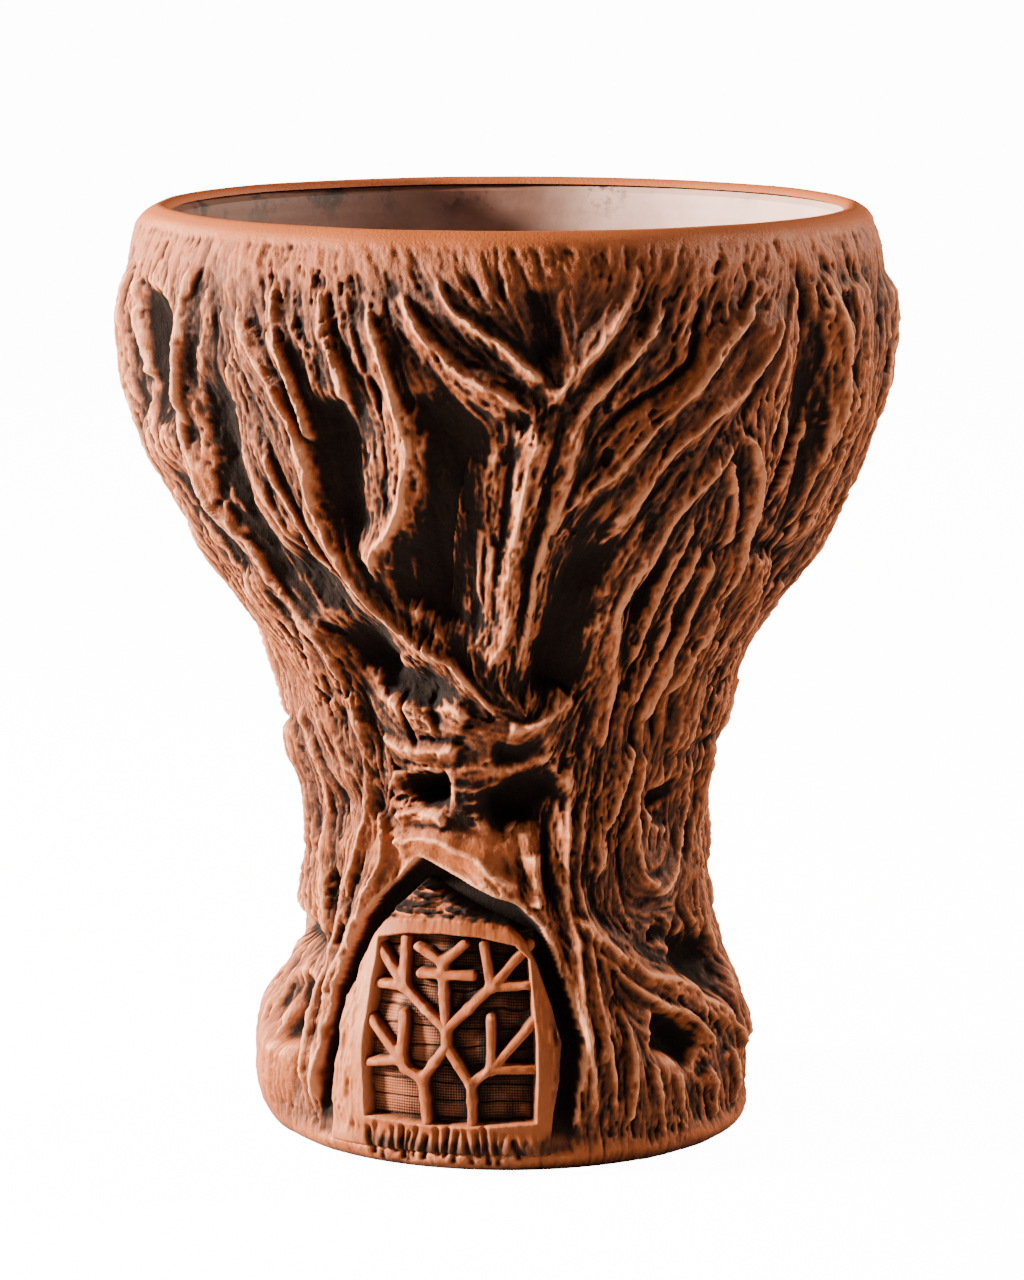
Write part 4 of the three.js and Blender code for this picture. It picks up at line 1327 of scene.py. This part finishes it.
def clay_material(name, ground, brown, pale, patina_and_shade_colour, grain_height):
    """Fired clay that reads the masks of its piece."""
    material = bpy.data.materials.new(name)
    material.use_nodes = True
    tree = material.node_tree
    shader = tree.nodes["Principled BSDF"]
    shader.inputs["Specular IOR Level"].default_value = CLAY_SHEEN
    mixer = tree.nodes.new("ShaderNodeGroup")
    mixer.node_tree = fired_clay
    for key, colour in (("Ground", ground), ("Brown", brown), ("Pale", pale), ("PatinaAndShade", patina_and_shade_colour)):
        mixer.inputs[key].default_value = (*colour, 1)
    for key, layer in (("Hollow", "hollow"), ("Crest", "crest"), ("Tidy", "tidy")):
        mask = node(tree, "ShaderNodeAttribute", attribute_name=layer)
        tree.links.new(mask.outputs["Fac"], mixer.inputs[key])
    tree.links.new(mixer.outputs["Color"], shader.inputs["Base Color"])
    tree.links.new(mixer.outputs["Roughness"], shader.inputs["Roughness"])
    bumps = node(tree, "ShaderNodeBump", Strength=0.9, Distance=grain_height)
    tree.links.new(mixer.outputs["Height"], bumps.inputs["Height"])
    tree.links.new(bumps.outputs["Normal"], shader.inputs["Normal"])
    return material


bark_clay = clay_material(
    "bark_clay", (0.22, 0.055, 0.014), (0.055, 0.016, 0.006), (0.58, 0.24, 0.12), (0.004, 0.002, 0.0015),
    BARK_GRAIN)
door_clay = clay_material(
    "door_clay", (0.19, 0.047, 0.012), (0.075, 0.021, 0.007), (0.40, 0.14, 0.06), (0.004, 0.002, 0.0015),
    DOOR_GRAIN)
panel_clay = clay_material(
    "panel_clay", (0.20, 0.055, 0.018), (0.10, 0.028, 0.010), (0.34, 0.13, 0.06), (0.005, 0.003, 0.002),
    PANEL_GRAIN)
for piece in skins:
    piece.data.materials.append(bark_clay)
for piece in [door] + trees:
    piece.data.materials.append(door_clay)
panel.data.materials.append(panel_clay)

# %% [markdown]
# The thrown inside is smooth and faintly ringed. It is painted grey-brown towards the left and pinkish
# white towards the right, as painted shade and painted light: the right inner wall faces the key lamp.
# Smoky clouds lie over it, with a broken line of soot under the far lip.

# %% Clay of the thrown pieces
THROWN_SHEEN = 0.3
THROWN_GRAIN = 0.00008
SOOT = (0.012, 0.008, 0.006)


def thrown_material(name, warm, pale, smoke):
    """Wheel-thrown clay: painted darker to the left and paler to the right, as painted shade and painted
    light, with smoky clouds and soot under the lip.
    """
    material = bpy.data.materials.new(name)
    material.use_nodes = True
    tree = material.node_tree
    shader = tree.nodes["Principled BSDF"]
    shader.inputs["Specular IOR Level"].default_value = THROWN_SHEEN
    place = tree.nodes.new("ShaderNodeTexCoord").outputs["Object"]
    split = tree.nodes.new("ShaderNodeSeparateXYZ")
    tree.links.new(place, split.inputs[0])
    broad = noise(tree, place, 38, 4, 0.6)
    cloud = noise(tree, place, 240, 5, 0.7)
    speck = noise(tree, place, 1400, 3, 0.6)

    # Painted light and shade: paler towards +X, where the inner wall of the cup faces the key lamp, and
    # darker towards -X.
    painted_light_across = math_node(tree, "MULTIPLY", split.outputs["X"], 14.0)
    tone = math_node(tree, "ADD", painted_light_across, math_node(tree, "MULTIPLY_ADD", broad, 0.9, -0.2))
    colour = mixed(tree, spread(tree, tone, 0.12, 0.85), warm, pale)
    colour = mixed(tree, spread(tree, cloud, 0.5, 0.85, 0, 0.35), colour, smoke)

    # Soot in a broken line close under the lip, towards the left
    under_lip = spread(tree, split.outputs["Z"], 0.0945, 0.0985)
    leftward = math_node(tree, "MULTIPLY_ADD", split.outputs["X"], -4.5, broad)
    ragged = math_node(tree, "MULTIPLY", under_lip, spread(tree, cloud, 0.5, 0.62))
    ragged = math_node(tree, "MULTIPLY", ragged, spread(tree, leftward, 0.42, 0.55))
    colour = mixed(tree, math_node(tree, "MULTIPLY", ragged, 0.9), colour, SOOT)
    tree.links.new(colour, shader.inputs["Base Color"])
    tree.links.new(math_node(tree, "MULTIPLY_ADD", speck, 0.2, 0.5), shader.inputs["Roughness"])

    # Throwing rings, about 1.5 mm apart, with sandy grain over them
    ring = math_node(tree, "SINE", math_node(tree, "MULTIPLY", split.outputs["Z"], 4200.0), 0.0)
    height_value = math_node(tree, "MULTIPLY_ADD", ring, 0.12, math_node(tree, "MULTIPLY", speck, 0.6))
    bumps = node(tree, "ShaderNodeBump", Strength=0.6, Distance=THROWN_GRAIN)
    tree.links.new(height_value, bumps.inputs["Height"])
    tree.links.new(bumps.outputs["Normal"], shader.inputs["Normal"])
    return material


cup_clay = thrown_material("cup_clay", (0.085, 0.036, 0.024), (0.50, 0.33, 0.28), (0.05, 0.025, 0.018))
foot_clay = thrown_material("foot_clay", (0.32, 0.10, 0.04), (0.40, 0.14, 0.06), (0.16, 0.06, 0.03))
sooted_clay = thrown_material("sooted_clay", (0.16, 0.09, 0.07), (0.34, 0.24, 0.2), (0.03, 0.02, 0.016))
cup.data.materials.append(cup_clay)
socket.data.materials.append(foot_clay)
foot.data.materials.append(foot_clay)
disc.data.materials.append(sooted_clay)

# %% [markdown]
# The table is a pale matt board with a faint variation. It glows for the camera alone, so that it looks
# as white as the sky behind it, and its glow lights nothing.

# %% Table surface
TABLE_GLOW = 14.0
table_top = bpy.data.materials.new("table_top")
table_top.use_nodes = True
table_tree = table_top.node_tree
table_place = table_tree.nodes.new("ShaderNodeTexCoord").outputs["Object"]
table_shade = spread(table_tree, noise(table_tree, table_place, 3.0), 0.3, 0.7)
table_colour = mixed(table_tree, table_shade, (0.36, 0.35, 0.34), (0.40, 0.39, 0.38))
table_shader = table_tree.nodes["Principled BSDF"]
table_tree.links.new(table_colour, table_shader.inputs["Base Color"])
table_shader.inputs["Roughness"].default_value = 0.85
table_seen = table_tree.nodes.new("ShaderNodeLightPath").outputs["Is Camera Ray"]
table_glow = math_node(table_tree, "MULTIPLY", table_seen, TABLE_GLOW)
table_shader.inputs["Emission Color"].default_value = (1, 1, 1, 1)
table_tree.links.new(table_glow, table_shader.inputs["Emission Strength"])
floor.data.materials.append(table_top)

# %% [markdown]
# ## Size
# The CAD model's box and the finished bowl's box are both printed, in millimetres. The finished bowl
# has to stay inside the CAD model's box.

# %% Finish
visual_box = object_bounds()
for label, box in (("CAD", cad_box), ("visual", visual_box)):
    print(label, "box in mm", [[round(float(value) / MM, 2) for value in corner] for corner in box])
